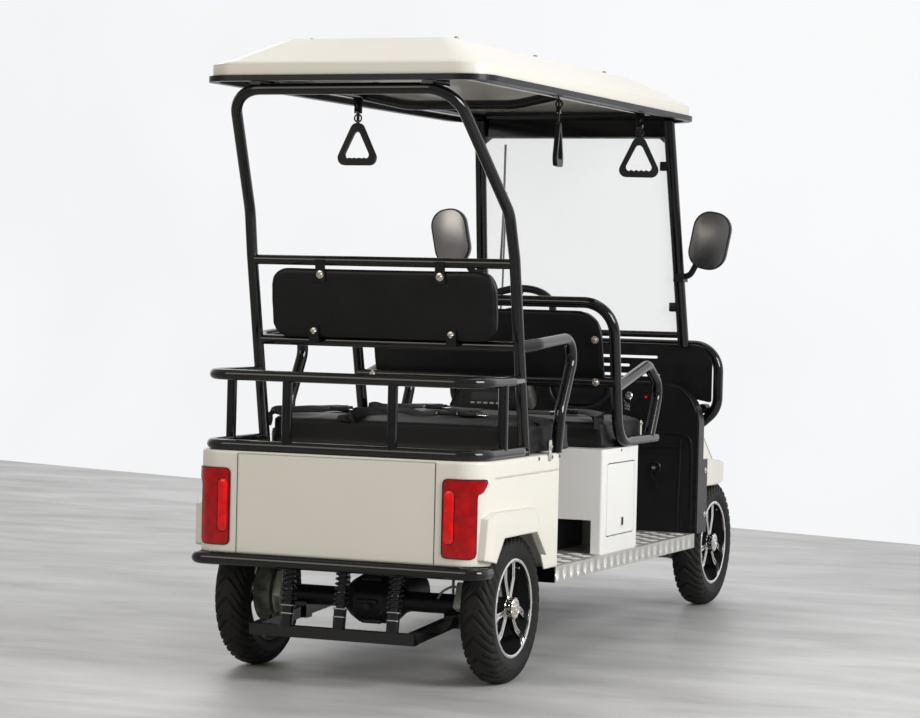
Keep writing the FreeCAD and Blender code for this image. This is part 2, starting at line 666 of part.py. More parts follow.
def make_cushion(label, rear_y, bottom):
    """Plain block that stands for one padded bench."""
    body = new_body(label)
    plan = new_sketch(body, label + "_plan", "XY_Plane", (
        ("-cushion_width / 2", rear_y, 25), ("cushion_width / 2", rear_y, 25),
        ("cushion_width / 2", rear_y + " + cushion_depth", 35),
        ("-cushion_width / 2", rear_y + " + cushion_depth", 35)), offset=bottom)
    pad(body, label + "_block", plan, "cushion_height")
    return body


rear_backrest = make_backrest("rear_backrest", val("rear_back_half"),
                              (-5.6, val("crossbar_low_z") + 17),
                              (-39.6, val("crossbar_high_z") - 21), 66)
rear_hoop = make_rear_hoop()
rear_hoop_shape = rear_hoop.Shape.copy()
on_chassis(make_guard_rail())
on_chassis(make_cushion("rear_cushion", "rear_cushion_y", "body_top_z"))
on_chassis(rear_backrest)


# ---------------------------------------------------------------- front seat
HINGE_LEVELS = (455, 595)
LUG = (  # across from the pin and forward of it: neck, leg and foot of one hinge lug
    (4, -4), (4, 4), (-3, 4), (-9, -1), (-18, -1), (-18, 20), ("hinge_in - seat_wall", 20),
    ("hinge_in - seat_wall", 32), (-26, 32), (-26, -9), (-4, -9))


def make_seat_base():
    """White seat box: folded walls, open to the rear below, with a door opening each side."""
    body = new_body("seat_base")
    half, rear, front = "seat_base_width / 2", "seat_base_rear_y", "seat_base_front_y"
    plan = new_sketch(body, "seat_base_plan", "XY_Plane", (
        ("-" + half, rear, 10), (half, rear, 10), (half, front, 10), ("-" + half, front, 10)),
        offset="floor_top_z")
    pad(body, "seat_base_block", plan, "seat_base_top_z - floor_top_z")
    inner = new_sketch(body, "seat_base_hollow_plan", "XY_Plane", (
        ("-(seat_base_width / 2 - seat_wall)", "seat_base_rear_y + seat_wall", 7),
        ("seat_base_width / 2 - seat_wall", "seat_base_rear_y + seat_wall", 7),
        ("seat_base_width / 2 - seat_wall", "seat_base_front_y - seat_wall", 7),
        ("-(seat_base_width / 2 - seat_wall)", "seat_base_front_y - seat_wall", 7)),
        offset="floor_top_z")
    pocket(body, "seat_base_hollow", inner, "seat_base_top_z - floor_top_z - seat_wall",
           reverse=True)
    mouth = new_sketch(body, "seat_base_mouth", "XZ_Plane", mirror_outline((
        ("seat_base_width / 2 - 40", "floor_top_z - 1"),
        ("seat_base_width / 2 - 40", "seat_mouth_z"))), offset="-seat_base_rear_y - 40")
    pocket(body, "seat_base_rear_opening", mouth, 80, reverse=True)
    door = new_sketch(body, "seat_base_door_cut", "YZ_Plane", (
        ("door_rear_y", "door_low_z", 12), ("door_front_y", "door_low_z", 12),
        ("door_front_y", "door_top_z", 12), ("door_rear_y", "door_top_z", 12)))
    pocket(body, "seat_base_door_openings", door, "seat_base_width + 20", middle=True)
    pin_x, pin_y = "seat_base_width / 2 - hinge_in", "door_front_y - hinge_back"
    right = [("%s + %s" % (pin_x, a), "%s + %s" % (pin_y, b)) for a, b in LUG]
    left = [("-(%s)" % a, b) for a, b in reversed(right)]
    for index, level in enumerate(HINGE_LEVELS):
        for step, word in ((-1, "low"), (1, "high")):
            plate = new_sketch(body, "hinge_lug_%s_%d" % (word, index), "XY_Plane",
                               offset=level + 14.5 * step, loops=[right, left])
            pad(body, plate.Name + "_pad", plate, 4, reverse=step < 0)
        pins = new_sketch(body, "hinge_pin_%d" % index, "XY_Plane", offset=level - 16, circles=[
            (pin_x, pin_y, "hinge_pin_rad"), ("-(%s)" % pin_x, pin_y, "hinge_pin_rad")])
        pad(body, pins.Name + "_pad", pins, 32)
    return body


def make_door(label, side):
    """Storage door in the seat box side, hung on two concealed pins near its front edge."""
    outer, wall, gap = val("seat_base_width / 2"), val("seat_wall"), val("door_gap")
    rear, front = val("door_rear_y") + gap, val("door_front_y") - gap
    low, high = val("door_low_z") + gap, val("door_top_z") - gap
    slab = box(outer - wall, outer, rear, front, low, high)
    edges = [e for e in slab.Edges if abs(e.tangentAt(e.FirstParameter).x) > 0.9]
    lock_y, lock_z = val("lock_y"), val("lock_z")
    latch = box(outer - wall, outer + 3, lock_y - 12, lock_y + 12, lock_z - 18, lock_z + 18)
    shapes = [slab.makeFillet(10, edges), latch]
    x, y = outer - val("hinge_in"), val("door_front_y - hinge_back")
    for level in HINGE_LEVELS:
        shapes.append(rod((x, y, level - 14), (x, y, level + 14), 6))
        shapes.append(box(x, outer - wall, y - 6, y, level - 14, level + 14))
    bores = [rod((x, y, level - 20), (x, y, level + 20), val("hinge_pin_rad + running_gap"))
             for level in HINGE_LEVELS]
    door = fuse(shapes).cut(bores)
    return feature(label, door if side > 0 else mirrored(door))


def make_seat_hoop():
    """Backrest hoop of the front seat with its armrest loops and foot rails."""
    rad = val("arm_tube_rad")
    base = val("seat_base_top_z") + rad
    foot_x, post_x, rear = val("seat_hoop_x") - 8, val("seat_hoop_x"), val("seat_hoop_rear_y")
    frame = tube(across([(foot_x, "seat_rail_front_y", base), (foot_x, rear, base),
                         (post_x, "seat_hoop_top_y", "seat_hoop_top_z")]), rad, 105)
    front = val("seat_rail_front_y")
    arm = tube([(post_x - 5, rear - 40, 905), (post_x - 5, front - 100, 978),
                (post_x - 5, front + 32, 900), (foot_x, front - 62, base)], rad, 62)
    bar_y, bar_z = rear - 55, 925
    shapes = [frame, rod((-post_x + 3, bar_y, bar_z), (post_x - 3, bar_y, bar_z),
                         val("bar_tube_rad"))]
    shapes += both_sides(arm)
    shapes += both_sides(rod((250, bar_y, bar_z + 8), (250, bar_y + 50, bar_z + 8), 8))
    return feature("seat_hoop", fuse(shapes).cut(front_backrest.Shape))


def make_battery():
    """Battery pack on the floor inside the seat box."""
    body = new_body("battery_pack")
    plan = new_sketch(body, "battery_plan", "XY_Plane", mirror_outline((
        (300, "seat_base_rear_y + 63"), (300, "seat_base_front_y - 60"))), offset="floor_top_z")
    pad(body, "battery_block", plan, 230)
    return body


front_backrest = make_backrest("front_backrest", 430, (903, 900), (838, 1168), 60)
on_chassis(make_seat_base())
on_chassis(make_door("seat_door_left", -1))
on_chassis(make_door("seat_door_right", 1))
on_chassis(make_seat_hoop())
on_chassis(make_cushion("front_cushion", "front_cushion_y", "seat_base_top_z"))
on_chassis(front_backrest)
on_chassis(make_battery())


# ---------------------------------------------------------------- rear axle and suspension
def make_rear_axle():
    """Live axle turned in one piece: differential, tube, drums and wheel spindles."""
    body = new_body("rear_axle")
    drum_in, drum_out, end = "track / 2 - 82", "track / 2 - 20", "track / 2 + 32"
    half = ((end, 0), (end, "spindle_rad"), (drum_out, "spindle_rad"), (drum_out, 30),
            (drum_out, 84), ("track / 2 - 26", 95), (drum_in, 95), (drum_in, 60),
            ("track / 2 - 92", "axle_tube_rad"), (108, "axle_tube_rad"), (78, "diff_rad - 16"),
            (52, "diff_rad"))
    section = new_sketch(body, "rear_axle_section", "XZ_Plane", mirror_outline(half))
    revolve(body, "rear_axle_turned", section)
    return body


def make_swing_frame():
    """U-shaped lower frame of angle steel that carries the dampers and holds the axle."""
    half, wide = val("swing_x"), 30
    back, low, high = val("swing_y"), val("swing_low_z"), val("swing_low_z") + 35
    front, beam = val("floor_rear_y") + 36, val("floor_top_z - floor_sheet - rail_depth")
    x = half - wide
    arm = prism([(x, back, low), (x, back, high), (x, front, high + 48), (x, front, low + 48)],
                (wide, 0, 0))
    hanger = box(x, half, front - 30, front, low + 60, beam)
    saddle = box(x - 10, half + 10, -22, 22, low + 20, val("tyre_rad"))
    axle = rod((-500, 0, val("tyre_rad")), (500, 0, val("tyre_rad")),
               val("axle_tube_rad + running_gap"))
    bar = box(-half, half, back, back + wide, low, high)
    shapes = [bar] + both_sides(arm) + both_sides(hanger) + both_sides(saddle)
    return feature("swing_frame", fuse(shapes).cut(axle))


DAMPERS = (-160, 20, 200)


def make_dampers():
    """Three coil-over dampers standing on the rear bar."""
    top, foot_z = val("body_hem_z + 45 - rail_depth"), val("swing_low_z") + 35
    y = val("swing_y") + 16
    ends = [box(-300, 300, -450, -200, top, top + 40), box(-300, 300, -450, -200, 100, foot_z)]
    solids = []
    for x in DAMPERS:
        foot, waist, head = (x, y, foot_z - 6), (x, y + 10, 240), (x, y + 36, top + 8)
        solids.append(fuse([rod(foot, waist, 20), rod(waist, head, 14)]).cut(ends))
    return feature("rear_dampers", Part.Compound(solids))


rear_axle = make_rear_axle()
doc.recompute()
motor = rod((0, val("diff_rad + running_gap"), 0), (0, 266, 0), 70)
on_floor(feature("drive_motor", motor), 0, 0, val("tyre_rad"))
on_floor(rear_axle, 0, 0, val("tyre_rad"))
on_chassis(make_swing_frame())
on_chassis(make_dampers())


# ---------------------------------------------------------------- front axle and steering
def make_front_axle():
    """Beam axle with a forked end and kingpin on each side."""
    pin_x, pin_rad = val("kingpin_x"), val("kingpin_rad")
    shapes = [rod((-pin_x + 34, 0, 0), (pin_x - 34, 0, 0), val("axle_tube_rad"))]
    ears = [box(pin_x - 60, pin_x + 18, -18, 18, level, level + 12) for level in (31, -43)]
    web = box(pin_x - 60, pin_x - 32, -18, 18, -43, 43)
    post = rod((pin_x, 0, -40), (pin_x, 0, 40), pin_rad)
    for shape in ears + [web, post]:
        shapes += both_sides(shape)
    rise = math.radians(val("rake_angle"))
    rail_base = val("floor_top_z - floor_sheet + rail_kick - rail_depth - tyre_rad")
    low = rail_base * math.cos(rise) - val("wheelbase") * math.sin(rise)
    spread = 28
    slope = math.tan(rise) * spread
    x = val("rail_spacing / 2") - 18
    shapes += both_sides(prism([(x, -spread, 0), (x, -spread, low + slope),
                                (x, spread, low - slope), (x, spread, 0)], (36, 0, 0)))
    return feature("front_axle", fuse(shapes))


def make_knuckle(label, side):
    """Steering knuckle: kingpin boss, spindle, brake plate and arm, drawn about the kingpin."""
    bore = val("kingpin_rad + running_gap")
    reach = val("track / 2 - kingpin_x") + 32
    arm = val("steer_arm")
    boss = rod((0, 0, -30), (0, 0, 30), 22)
    spindle = rod((0, 0, 0), (reach, 0, 0), val("spindle_rad"))
    plate = rod((40, 0, 0), (48, 0, 0), 72)
    collar = rod((0, 0, 0), (60, 0, 0), 18)
    link = box(-12, 12, -arm, 0, -30, -16)
    end = rod((0, -arm, -30), (0, -arm, -16), 14)
    post = rod((0, -arm, -val("tie_rod_drop") - 10), (0, -arm, -16), 6)
    body = fuse([boss, spindle, plate, collar, link, end, post])
    body = body.cut(rod((0, 0, -40), (0, 0, 40), bore))
    return feature(label, body if side > 0 else mirrored(body))


def make_tie_rod():
    """Track rod between the two steering arms, with an eye at each end."""
    x, arm, level = val("kingpin_x"), val("steer_arm"), -val("tie_rod_drop")
    shapes = [rod((-x, -arm, level), (x, -arm, level), 8)]
    shapes += both_sides(rod((x, -arm, level - 8), (x, -arm, level + 10), 13))
    bore = rod((x, -arm, level - 22), (x, -arm, level + 28), 6 + val("running_gap"))
    return feature("tie_rod", fuse(shapes).cut(both_sides(bore)))


front = (val("wheelbase"), val("tyre_rad"))
on_floor(make_front_axle(), 0, *front)
on_floor(make_knuckle("knuckle_left", -1), -val("kingpin_x"), *front)
on_floor(make_knuckle("knuckle_right", 1), val("kingpin_x"), *front)
on_floor(make_tie_rod(), 0, *front)


def make_steering_column():
    """Column tube from the dash down to the floor, with a shaft that carries the wheel."""
    lean = math.radians(val("steer_tilt"))
    along = Vec(0, math.sin(lean), -math.cos(lean))
    hub = Vec(val("steer_x"), val("steer_y"), val("steer_z"))
    sleeve = Part.makeCylinder(22, 435, hub + along * 55, along)
    shaft = Part.makeCylinder(9, 60, hub + along * 10, along)
    return feature("steering_column", fuse([sleeve, shaft]))


def make_steering_wheel():
    """Rim, three spokes and hub, turned about the column."""
    reach = val("steer_rad")
    shapes = [Part.makeTorus(reach, 14), Part.makeCylinder(38, 34, Vec(0, 0, -34))]
    for angle in (90, 210, 330):
        c, s = math.cos(math.radians(angle)), math.sin(math.radians(angle))
        shapes.append(rod((20 * c, 20 * s, -18), ((reach - 5) * c, (reach - 5) * s, -2), 9))
    wheel = fuse(shapes).cut(Part.makeCylinder(9 + val("running_gap"), 26, Vec(0, 0, -34)))
    wheel.Placement = FreeCAD.Placement(
        Vec(val("steer_x"), val("steer_y"), val("steer_z")),
        FreeCAD.Rotation(X, val("steer_tilt")))
    return feature("steering_wheel", wheel)


steering_column = make_steering_column()
on_chassis(make_steering_wheel())


# ---------------------------------------------------------------- front body
def make_shield():
    """Black leg shield: arch-topped panel with a deep return flange and two side strips."""
    body = new_body("shield_panel")
    face = new_sketch(body, "shield_outline", "XZ_Plane", mirror_outline((
        ("shield_width / 2", "floor_top_z"),
        ("shield_width / 2", "shield_top_z", "shield_arch_rad"))), offset="-shield_y")
    pad(body, "shield_block", face, "shield_depth", reverse=True)
    inner = new_sketch(body, "shield_hollow_outline", "XZ_Plane", mirror_outline((
        ("shield_width / 2 - shield_wall", "floor_top_z - 5"),
        ("shield_width / 2 - shield_wall", "shield_top_z - shield_wall",
         "shield_arch_rad - shield_wall"))), offset="-shield_y - shield_wall")
    pocket(body, "shield_hollow", inner, "shield_depth")
    strips = []
    for side in (1, -1):
        edge = "%d * shield_width / 2" % side
        web = "%d * (shield_width / 2 - shield_wall)" % side
        strip = [(web, "shield_y + shield_depth"), (edge, "shield_y + shield_depth"),
                 (edge, "shield_y + shield_lug_depth"), (web, "shield_y + shield_lug_depth")]
        strips.append(strip if side > 0 else strip[::-1])
    plan = new_sketch(body, "shield_strip_plan", "XY_Plane", loops=strips, offset="floor_top_z")
    pad(body, "shield_strips", plan, "fender_top_z - floor_top_z - 6")
    return body


NOSE = (  # y, then half-width and height of the crown, the shoulder and the lower edge
    ("shield_y + shield_wall", 335, 892, 432, 800, 482, 600), (2050, 320, 800, 420, 706, 474, 585),
    (2200, 290, 690, 380, 620, 420, 560), ("nose_front_y", 200, 500, 260, 450, 280, 380))


def nose_block(inset, ahead=0, drop=0):
    """The nose as a solid through its stations, shrunk by an inset and open ends added."""
    wires = []
    for i, station in enumerate(NOSE):
        y, a, top, b, mid, c, low = (val(v) for v in station)
        y += -1 if (i == 0 and inset > 0) else 0
        y -= ahead if i == len(NOSE) - 1 else 0
        ring = [(c - inset, low - drop), (c - inset, low), (b - inset, mid), (a - inset, top - inset)]
        ring += [(-x, z) for x, z in reversed(ring)]
        if not drop:
            ring = ring[1:-1]
        corners = [Vec(x, y, z) for x, z in ring]
        wires.append(Part.makePolygon(corners + corners[:1]))
    return Part.makeLoft(wires, True, True)


def make_dash():
    """Dash panel inside the guard loop, with three long slots each side of its middle."""
    body = new_body("dash_plate")
    face = new_sketch(body, "dash_outline", "XZ_Plane", mirror_outline((
        (330, 860, 60), ("loop_x - 18", 826, 8), ("loop_x - 18", "loop_top_z - 2", 70))),
        offset="-(loop_y - rail_tube_rad - 6)")
    pad(body, "dash_sheet", face, 6, reverse=True)
    slots = []
    for end, level in ((300, 990), (190, 957), (310, 922)):
        for side in (1, -1):
            ring = [(40, level - 5, 4.5), (end, level - 5, 4.5), (end, level + 5, 4.5),
                    (40, level + 5, 4.5)]
            ring = [(side * x, z, r) for x, z, r in ring]
            slots.append(ring if side > 0 else ring[::-1])
    cut = new_sketch(body, "dash_slots", "XZ_Plane", loops=slots, offset="-(loop_y - 60)")
    pocket(body, "dash_slots_cut", cut, 120)
    return body


def loop_shape(grow=0):
    """Front guard tube: crossbar under the screen that loops down each side to the nose."""
    rad, y, x = val("arm_tube_rad") + grow, val("loop_y"), val("loop_x")
    top, low = val("loop_top_z"), val("loop_low_z")
    base = val("floor_top_z - floor_sheet + rail_kick")
    rail_x = val("rail_spacing / 2")
    ring = tube(across([(rail_x, y, low + 20), (x - 80, y, low + 10), (x, y, low + 80),
                        (x, y, top)]), rad, 95)
    legs = both_sides(rod((rail_x, y + 35, base - 10), (rail_x, y, low + 25), rad))
    below = box(-600, 600, 1700, 2100, base - 60, base)
    return fuse([ring] + legs).cut(below)


def make_fender(label, side):
    """Mudguard shell over a front wheel, let in under the edge of the nose."""
    back, edge, wall = val("shield_y + shield_lug_depth"), val("fender_x"), val("fender_wall")
    top, drop = val("fender_top_z"), val("fender_low_z")

    def shell(inset, end):
        plan = [(300, back - end), (edge - inset, back - end), (edge + 8 - inset, back + 60),
                (edge - inset, back + 150), (edge - 50 - inset, 2240),
                (edge - 110 - inset, 2350 - inset), (300, 2350 - inset)]
        return prism([(x, y, drop - end) for x, y in plan], (0, 0, 400))

    roof = [(0, back - 50, 400), (0, back - 50, top), (0, back + 170, top - 18),
            (0, 2250, top - 40), (0, 2360, top - 80), (0, 2360, 400)]
    under = [(x, y, z - wall if z > 400 else z) for x, y, z in roof]
    outer = shell(0, 0).common(prism(roof, (900, 0, 0)))
    inner = shell(wall, 5).common(prism(under, (900, 0, 0)))
    shape = outer.cut([inner, nose_solid, box(0, 330, back - 60, 2400, 300, 800)])
    return feature(label, shape if side > 0 else mirrored(shape))


LAMP_BACK, LAMP_FRONT, LAMP_RAD = (150, 2240, 560), (150, 2312, 545), 50


def bumper_shape(grow=0):
    """Front bumper: bent tube from the two chassis rails."""
    z = val("floor_top_z - floor_sheet + rail_kick - rail_depth / 2")
    x, end = val("rail_spacing / 2"), val("chassis_front_y")
    path = across([(x, end, z), (x, "front_bumper_y", z)])
    return tube(path, val("rail_tube_rad") + grow, 60)


shield_panel = make_shield()
dash = make_dash()
doc.recompute()
shield_cut = shield_panel.Shape.cut(steering_column.Shape)
on_chassis(feature("front_shield", shield_cut))
on_chassis(steering_column)
hair = 0.15  # air left round a curved seat
guard_loop = feature("guard_loop", loop_shape())
loop_room = loop_shape(hair)
nose_solid = nose_block(-hair)
lamps = both_sides(rod(LAMP_BACK, LAMP_FRONT, LAMP_RAD))
nose = nose_block(0).cut([nose_block(val("nose_wall"), ahead=val("nose_wall"), drop=60)] + lamps
                         + [bumper_shape(hair), loop_room, steering_column.Shape])
on_chassis(feature("nose_cowl", max(nose.Solids, key=lambda solid: solid.Volume)))
on_chassis(make_fender("fender_left", -1))
on_chassis(make_fender("fender_right", 1))
on_chassis(feature("headlights", Part.Compound(lamps)))
on_chassis(feature("front_bumper", bumper_shape()))


# ---------------------------------------------------------------- screen and roof
def post_at(z):
    """Centre of the right-hand post at one level."""
    low, high = val("post_foot_z"), val("post_head_z")
    share = (z - low) / (high - low)
    return (val("post_foot_x") + (val("post_head_x - post_foot_x")) * share,
            val("post_foot_y") + (val("post_head_y - post_foot_y")) * share, z)


def posts_shape(grow=0):
    """Two front roof posts with the screen's bottom bar and the flat header."""
    rad = val("post_tube_rad") + grow
    x, y, _ = post_at(val("header_low_z"))
    front = y + 8
    header = box(-x, x, front, front + val("header_wall"), val("header_low_z"),
                 val("roof_rail_z - rail_tube_rad") + 2)
    sill = post_at(val("loop_top_z") + 38)
    bar = rod((-sill[0], sill[1], sill[2]), sill, 12 + grow)
    shapes = both_sides(rod(post_at(val("post_foot_z")), post_at(val("post_head_z")), rad))
    gusset = prism([(x, front, val("header_low_z") + 1), (x - 45, front, val("header_low_z") + 1),
                    (x, front, val("header_low_z") - 34)], (0, val("header_wall"), 0))
    shapes += [header, bar] + both_sides(gusset)
    return fuse(shapes).cut([loop_room, roof_frame.Shape])


def make_windshield():
    """Flat glass between the posts."""
    a, b = post_at(val("loop_top_z") + 40), post_at(val("header_low_z") + 6)
    rim = val("post_tube_rad") * 0.85
    pane = prism([(a[0] - rim, a[1], a[2]), (b[0] - rim, b[1], b[2]), (rim - b[0], b[1], b[2]),
                  (rim - a[0], a[1], a[2])], (0, val("screen_glass"), 0))
    return feature("windshield", pane.cut(posts_room))


def make_mirror(label, side):
    """Door mirror: oval shell with its glass to the rear, on a bent arm from the post."""
    x, y, z = val("mirror_x"), val("mirror_y"), val("mirror_z")
    wires = []
    for back, wide, tall in ((0, 62, 92), (6, 65, 96), (22, 58, 88), (40, 32, 60)):
        oval = Part.Ellipse(Vec(x, y + back, z), tall, wide)
        edge = oval.toShape()
        edge.rotate(Vec(x, y + back, z), X, 90)
        edge.rotate(Vec(x, y + back, z), Y, 90)
        wires.append(Part.Wire([edge]))
    head = Part.makeLoft(wires, True, False)
    px, py, pz = post_at(z - 143)
    arm = tube([(px, py, pz), (px + 45, py - 5, pz + 10), (x - 26, y + 22, z - 30)], 8, 20)
    clamp = box(px - 14, px + 26, py - 26, py + 26, pz - 16, pz + 16)
    shape = fuse([head, arm, clamp]).cut(posts_room)
    shape = max(shape.Solids, key=lambda solid: solid.Volume)
    return feature(label, shape if side > 0 else mirrored(shape))


def roof_block(inset, bottom, drop):
    """The roof's outer form, or its hollow when inset and dropped by the wall."""
    half, rear, front = val("roof_width / 2"), val("roof_rear_y"), val("roof_front_y")
    rim, rad = val("roof_edge_z + roof_skirt"), val("roof_corner_rad")
    nose_rad = val("roof_nose_rad")
    slope, rise = val("roof_slope"), val("roof_rise")
    levels = ((0, bottom), (0, rim - 6 - drop), (10, rim + 1 - drop), (slope, rim + rise - drop),
              (slope + 110, rim + rise + val("roof_crown") - drop))
    wires = []
    for step, z in levels:
        d = inset + step
        wires.append(rounded_plan(half - d, rear + d, front - d, z, max(rad - d * 0.3, 20),
                                  nose_rad - d * 0.3))
    return Part.makeLoft(wires, True, True)


def make_roof_trim():
    """Dark edge strip that stands proud under the roof skirt."""
    half, rear, front = val("roof_width / 2"), val("roof_rear_y"), val("roof_front_y")
    z, rad = val("roof_edge_z - trim_depth"), val("roof_corner_rad")
    out, lip, nose_rad = val("trim_stand"), val("trim_lip"), val("roof_nose_rad")
    outer = Part.Face(rounded_plan(half + out, rear - out, front + out, z, rad + out,
                                   nose_rad + out))
    inner = Part.Face(rounded_plan(half - lip, rear + lip, front - lip, z, rad - lip,
                                   nose_rad - lip))
    return feature("roof_trim", outer.cut(inner).extrude(Vec(0, 0, val("trim_depth"))))


def make_roof_frame():
    """Tubes under the roof that tie the rear hoop, the posts and the shell together."""
    rad, x, z = val("rail_tube_rad"), val("roof_rail_x"), val("roof_rail_z")
    rear, front = val("roof_rear_y") + 28, val("post_head_y") + 45
    shapes = both_sides(rod((x, rear, z), (x, front, z), rad))
    half = val("roof_width / 2 - roof_wall")
    for y, reach in ((rear + 90, half), (val("post_head_y") + 15, x + 30)):
        shapes.append(rod((-reach, y, z), (reach, y, z), rad))
    bow_y, dip = val("roof_bow_y"), z - val("roof_bow_dip")
    shapes.append(tube(across([(x, bow_y, z), (x - 170, bow_y, dip)]), rad, 300))
    hoop = val("hoop_top_z + hoop_tube_rad")
    for at_x in (-290, 290):
        shapes.append(box(at_x - 18, at_x + 18, rear - 28, rear + 110, hoop - 5, hoop + 5))
        shapes.append(box(at_x - 18, at_x + 18, rear + 74, rear + 106, hoop - 5, z))
    return feature("roof_frame", fuse(shapes).cut([rear_hoop_shape, roof_trim.Shape]))


roof_trim = make_roof_trim()
roof_frame = make_roof_frame()
roof_frame_shape = roof_frame.Shape.copy()
front_posts = feature("front_posts", posts_shape())
posts_room = posts_shape(hair)
on_chassis(make_windshield())
for name, side in (("mirror_left", -1), ("mirror_right", 1)):
    mirror = make_mirror(name, side)
    on_chassis(mirror)
dash_shape = dash.Shape.cut([posts_room, loop_room, nose_solid])
on_chassis(feature("dash_panel", max(dash_shape.Solids, key=lambda solid: solid.Volume)))
lamp_x, lamp_z, inner_x = val("loop_x") - 52, 803, val("loop_x")
stalks = []
for side in (1, -1):
    barrel = rod((side * lamp_x, val("loop_y") - 22, lamp_z),
                 (side * lamp_x, val("loop_y") + 24, lamp_z), 18)
    stalk = rod((side * lamp_x, val("loop_y"), lamp_z), (side * inner_x, val("loop_y"), lamp_z), 6)
    stalks.append(fuse([barrel, stalk]).cut(loop_room))
turn_lamps = Part.Compound([max(s.Solids, key=lambda solid: solid.Volume) for s in stalks])
on_chassis(feature("turn_lamps", turn_lamps))
on_chassis(front_posts)
wall = val("roof_wall")
roof_hollow = roof_block(wall, val("roof_edge_z") - 5, wall)
on_chassis(feature("roof_shell", roof_block(0, val("roof_edge_z"), 0).cut(roof_hollow)))
on_chassis(roof_trim)
on_chassis(roof_frame)
on_chassis(guard_loop)
on_chassis(rear_hoop)


# ---------------------------------------------------------------- small fittings
HANDLES = (  # name, side of the cart, y, turn about the upright
    ("rear_left", -1, "roof_bow_y - 31", 0), ("rear_right", 1, "roof_bow_y - 31", 102),
    ("front_right", 1, "roof_bow_y + 798", 22),
)


def make_handle(label, side, y, turn):
    """Triangular pull handle with finger rests, on a strap from the roof rail."""
    x = side * val("roof_rail_x")
    rail = val("roof_rail_z - rail_tube_rad")
    top, low, half, thick = rail - 80, rail - 225, val("handle_width / 2"), 15
    outer = Part.Face(bent_path([(0, 0, low), (half + 15, 0, low), (0, 0, top + 34),
                                 (-half - 15, 0, low), (0, 0, low)], 26))
    inner = Part.Face(bent_path([(0, 0, low + 22), (half - 16, 0, low + 22), (0, 0, top - 13),
                                 (16 - half, 0, low + 22), (0, 0, low + 22)], 14))
    plate = outer.cut(inner).extrude(Vec(0, thick, 0))
    plate.translate(Vec(0, -thick / 2, 0))
    bumps = [rod((step, -thick / 2, low + 17), (step, thick / 2, low + 17), 9)
             for step in (-27, -9, 9, 27)]
    strap = prism([(-5, -2, top - 8), (-5, -2, rail - 48), (-15, -2, rail - 20),
                   (-17, -2, rail + 4), (17, -2, rail + 4), (15, -2, rail - 20),
                   (5, -2, rail - 48), (5, -2, top - 8)], (0, 4, 0))
    shape = fuse([plate, strap] + bumps)
    shape.rotate(Vec(0, 0, 0), Z, turn)
    shape.translate(Vec(x, val(y), 0))
    return feature(label, shape.cut(roof_frame_shape))


def make_pedals():
    """Accelerator and brake pedals on arms from the shield."""
    y = val("shield_y")
    wall = box(-900, 900, y, y + 200, 300, 900)
    solids = []
    for x in (-260, -120):
        arm = tube([(x, y + 10, 560), (x, y - 60, 470), (x, y - 100, 400)], 7, 30)
        plate = box(x - 35, x + 35, y - 120, y - 95, 372, 430)
        solids.append(fuse([arm, plate]).cut(wall))
    return feature("pedals", Part.Compound(solids))


for name, side, y, turn in HANDLES:
    on_chassis(make_handle("handle_" + name, side, y, turn))
on_chassis(make_pedals())

# ---------------------------------------------------------------- check and export
doc.recompute()
for item in doc.Objects:
    if "Invalid" in item.State or "Error" in item.State:
        raise RuntimeError("%s failed: %s" % (item.Name, item.State))
for part in parts:
    if part.Shape.isNull() or not part.Shape.isValid():
        raise RuntimeError("%s has no valid shape" % part.Label)

os.makedirs("parts", exist_ok=True)
for part in parts:
    part.Shape.exportStep(os.path.join("parts", part.Label + ".step"))
print("%d sub-parts written" % len(parts))
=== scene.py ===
import bpy
import bmesh
import json
from collections import namedtuple
from math import cos, pi, radians, sin

import numpy as np
from mathutils import Matrix, Vector
from mathutils.bvhtree import BVHTree


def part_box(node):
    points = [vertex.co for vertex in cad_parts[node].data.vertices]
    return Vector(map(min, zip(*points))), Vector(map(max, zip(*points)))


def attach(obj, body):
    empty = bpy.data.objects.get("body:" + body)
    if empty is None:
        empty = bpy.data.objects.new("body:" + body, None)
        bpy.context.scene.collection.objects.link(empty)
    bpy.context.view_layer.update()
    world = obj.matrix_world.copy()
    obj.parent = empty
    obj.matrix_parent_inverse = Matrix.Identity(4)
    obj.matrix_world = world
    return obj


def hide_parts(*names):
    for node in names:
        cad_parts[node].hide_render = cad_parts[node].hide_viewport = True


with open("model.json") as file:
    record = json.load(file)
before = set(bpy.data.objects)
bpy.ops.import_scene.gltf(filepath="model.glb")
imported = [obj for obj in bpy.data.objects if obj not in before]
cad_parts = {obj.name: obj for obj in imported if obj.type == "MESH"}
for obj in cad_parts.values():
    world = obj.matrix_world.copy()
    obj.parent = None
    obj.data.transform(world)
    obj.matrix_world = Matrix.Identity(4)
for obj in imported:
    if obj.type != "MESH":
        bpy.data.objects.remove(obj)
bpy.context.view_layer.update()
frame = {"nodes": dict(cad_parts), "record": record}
scene = bpy.context.scene
nodes = frame["nodes"]

# ---- the cart's own axes
RAKE = radians(1.34)  # nose-down pitch of everything above the axles
MM = 0.001


def middle(node):
    """The middle of a CAD node's box."""
    low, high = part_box(node)
    return (low + high) / 2


AXLE = middle("rim_rear_right")
AXLE_Y, AXLE_Z = AXLE.y, AXLE.z
# level mm, with y from the rear axle, to metres in the frame
CHASSIS = (Matrix.Translation((0, AXLE_Y, AXLE_Z)) @ Matrix.Rotation(-RAKE, 4, "X")
           @ Matrix.Translation((0, 0, -AXLE_Z)) @ Matrix.Scale(MM, 4))
CHASSIS_BACK = CHASSIS.inverted()


# ---- materials
def new_material(name):
    material = bpy.data.materials.new(name)
    material.use_nodes = True
    tree = material.node_tree
    return material, tree, tree.nodes["Principled BSDF"]


